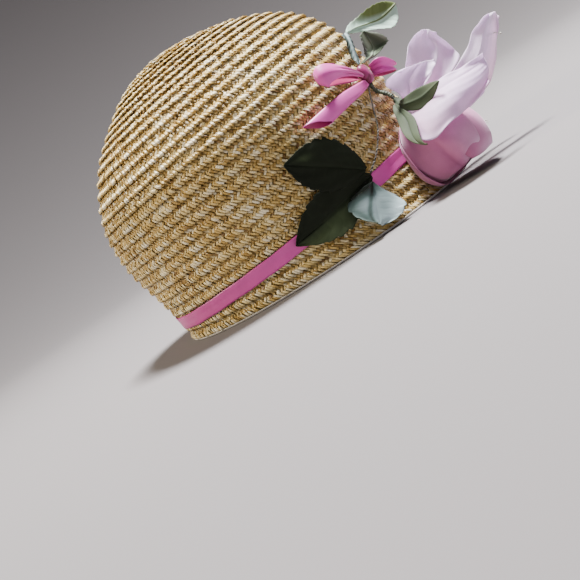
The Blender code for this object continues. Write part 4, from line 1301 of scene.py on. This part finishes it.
def make_stage():
    """Pale floor with a wall that curves up from it on every side, and soft studio lights."""
    finish, tree, shader = material("studio", 0.9)
    shader.inputs["Base Color"].default_value = (0.19, 0.180, 0.184, 1)
    flat, sweep = 0.9, 1.6
    bend = np.linspace(0, math.pi / 2, 33)[:, None]
    turn = np.linspace(0, 2 * math.pi, 97)[:-1]
    radius = flat + sweep * np.sin(bend)
    rings = stack(radius * np.cos(turn), radius * np.sin(turn), sweep * (1 - np.cos(bend)))
    index = np.arange(rings.size // 3).reshape(len(rings), -1)
    centre = rings.size // 3
    floor = np.stack([index[0], np.roll(index[0], -1), np.full(96, centre)], -1)
    quads = grid_faces(index, closed=True)
    faces = np.concatenate([floor, halves(quads)])
    mesh = bpy.data.meshes.new("studio_floor")
    mesh.from_pydata(np.concatenate([rings.reshape(-1, 3), np.zeros((1, 3))]).tolist(), [], faces.tolist())
    mesh.materials.append(finish)
    backdrop = bpy.data.objects.new("studio_floor", mesh)
    bpy.context.scene.collection.objects.link(backdrop)
    mesh.shade_smooth()

    world = bpy.data.worlds.new("studio")
    bpy.context.scene.world = world
    world.use_nodes = True
    background = world.node_tree.nodes["Background"]
    background.inputs["Color"].default_value = (0.88, 0.88, 1.0, 1)
    background.inputs["Strength"].default_value = 0.22

    lamps = (("key", (0.10, -0.30, 1.25), 0.30, 98, (1.0, 0.98, 0.98)),
             ("side", (-1.2, 0.10, 0.75), 0.8, 1.8, (0.92, 0.92, 1.0)),
             ("back", (-0.15, 1.2, 0.80), 0.4, 20, (1.0, 0.87, 0.64)))
    for name, place, size, power, colour in lamps:
        data = bpy.data.lights.new(name, "AREA")
        data.shape = "DISK"
        data.size = size
        data.energy = power
        data.color = colour
        lamp = bpy.data.objects.new(name, data)
        lamp.location = place
        lamp.rotation_euler = (Vector((0, 0, 0.08)) - Vector(place)).to_track_quat("-Z", "Y").to_euler()
        bpy.context.scene.collection.objects.link(lamp)


def main():
    make_camera()
    make_stage()
    make_straw(straw_material())
    make_shell(lining_material())
    ribbon = cloth_material(
        "ribbon", ((0.0, (0.15, 0.006, 0.04)), (0.5, (0.64, 0.065, 0.36)), (1.0, (0.86, 0.17, 0.60))),
        (0.34, 0.007, 0.10), 0.42, 0.20, grain=0.1, gloss=0.5)
    bud = cloth_material(
        "bud", ((0.0, (0.24, 0.035, 0.12)), (0.5, (0.58, 0.20, 0.38)), (1.0, (0.80, 0.50, 0.72))),
        (0.50, 0.13, 0.29), 0.62, 0.4, glow=0.15)
    petal = cloth_material(
        "petal", ((0.0, (0.82, 0.38, 0.42)), (0.5, (0.87, 0.57, 0.78)), (1.0, (0.93, 0.76, 1.0))),
        (0.95, 0.84, 1.0), 0.55, 0.3, glow=0.38)
    sepal = cloth_material(
        "sepal", ((0.0, (0.011, 0.018, 0.007)), (0.5, (0.030, 0.048, 0.020)), (1.0, (0.080, 0.105, 0.055))),
        (0.05, 0.07, 0.03), 0.75, 0.08)
    dark = cloth_material(
        "dark_leaf", ((0.0, (0.004, 0.006, 0.002)), (0.5, (0.012, 0.018, 0.007)),
                      (1.0, (0.045, 0.065, 0.028))),
        (0.03, 0.04, 0.02), 0.8, 0.04, gloss=0.2)
    pale = cloth_material(
        "pale_leaf", ((0.0, (0.008, 0.014, 0.007)), (0.5, (0.10, 0.16, 0.145)), (1.0, (0.40, 0.52, 0.54))),
        (0.06, 0.08, 0.04), 0.65, 0.15)
    mint = cloth_material(
        "mint_leaf", ((0.0, (0.03, 0.04, 0.03)), (0.35, (0.17, 0.23, 0.06)), (0.75, (0.68, 0.95, 0.79)),
                      (1.0, (0.80, 1.0, 0.92))),
        (0.14, 0.20, 0.08), 0.6, 0.3, glow=0.3)
    moss = cloth_material(
        "moss_leaf", ((0.0, (0.012, 0.02, 0.01)), (0.5, (0.08, 0.12, 0.06)), (1.0, (0.34, 0.44, 0.31))),
        (0.05, 0.075, 0.035), 0.65, 0.2)
    stem = thread_material("stem_wrap", (0.010, 0.016, 0.008), (0.06, 0.08, 0.04), 320.0, 0.6)
    grey = thread_material("wire_wrap", (0.045, 0.042, 0.03), (0.15, 0.145, 0.105), 500.0, 0.6)
    white = thread_material("pale_thread", (0.30, 0.30, 0.24), (0.66, 0.66, 0.62), 600.0, 0.7)
    make_bands(ribbon, tape_material())
    make_bow(ribbon)
    make_stems(stem, grey, white)
    make_lower_leaves(dark, pale)
    make_top_leaves(mint, pale, moss)
    make_rose(bud, petal, sepal, white)


main()
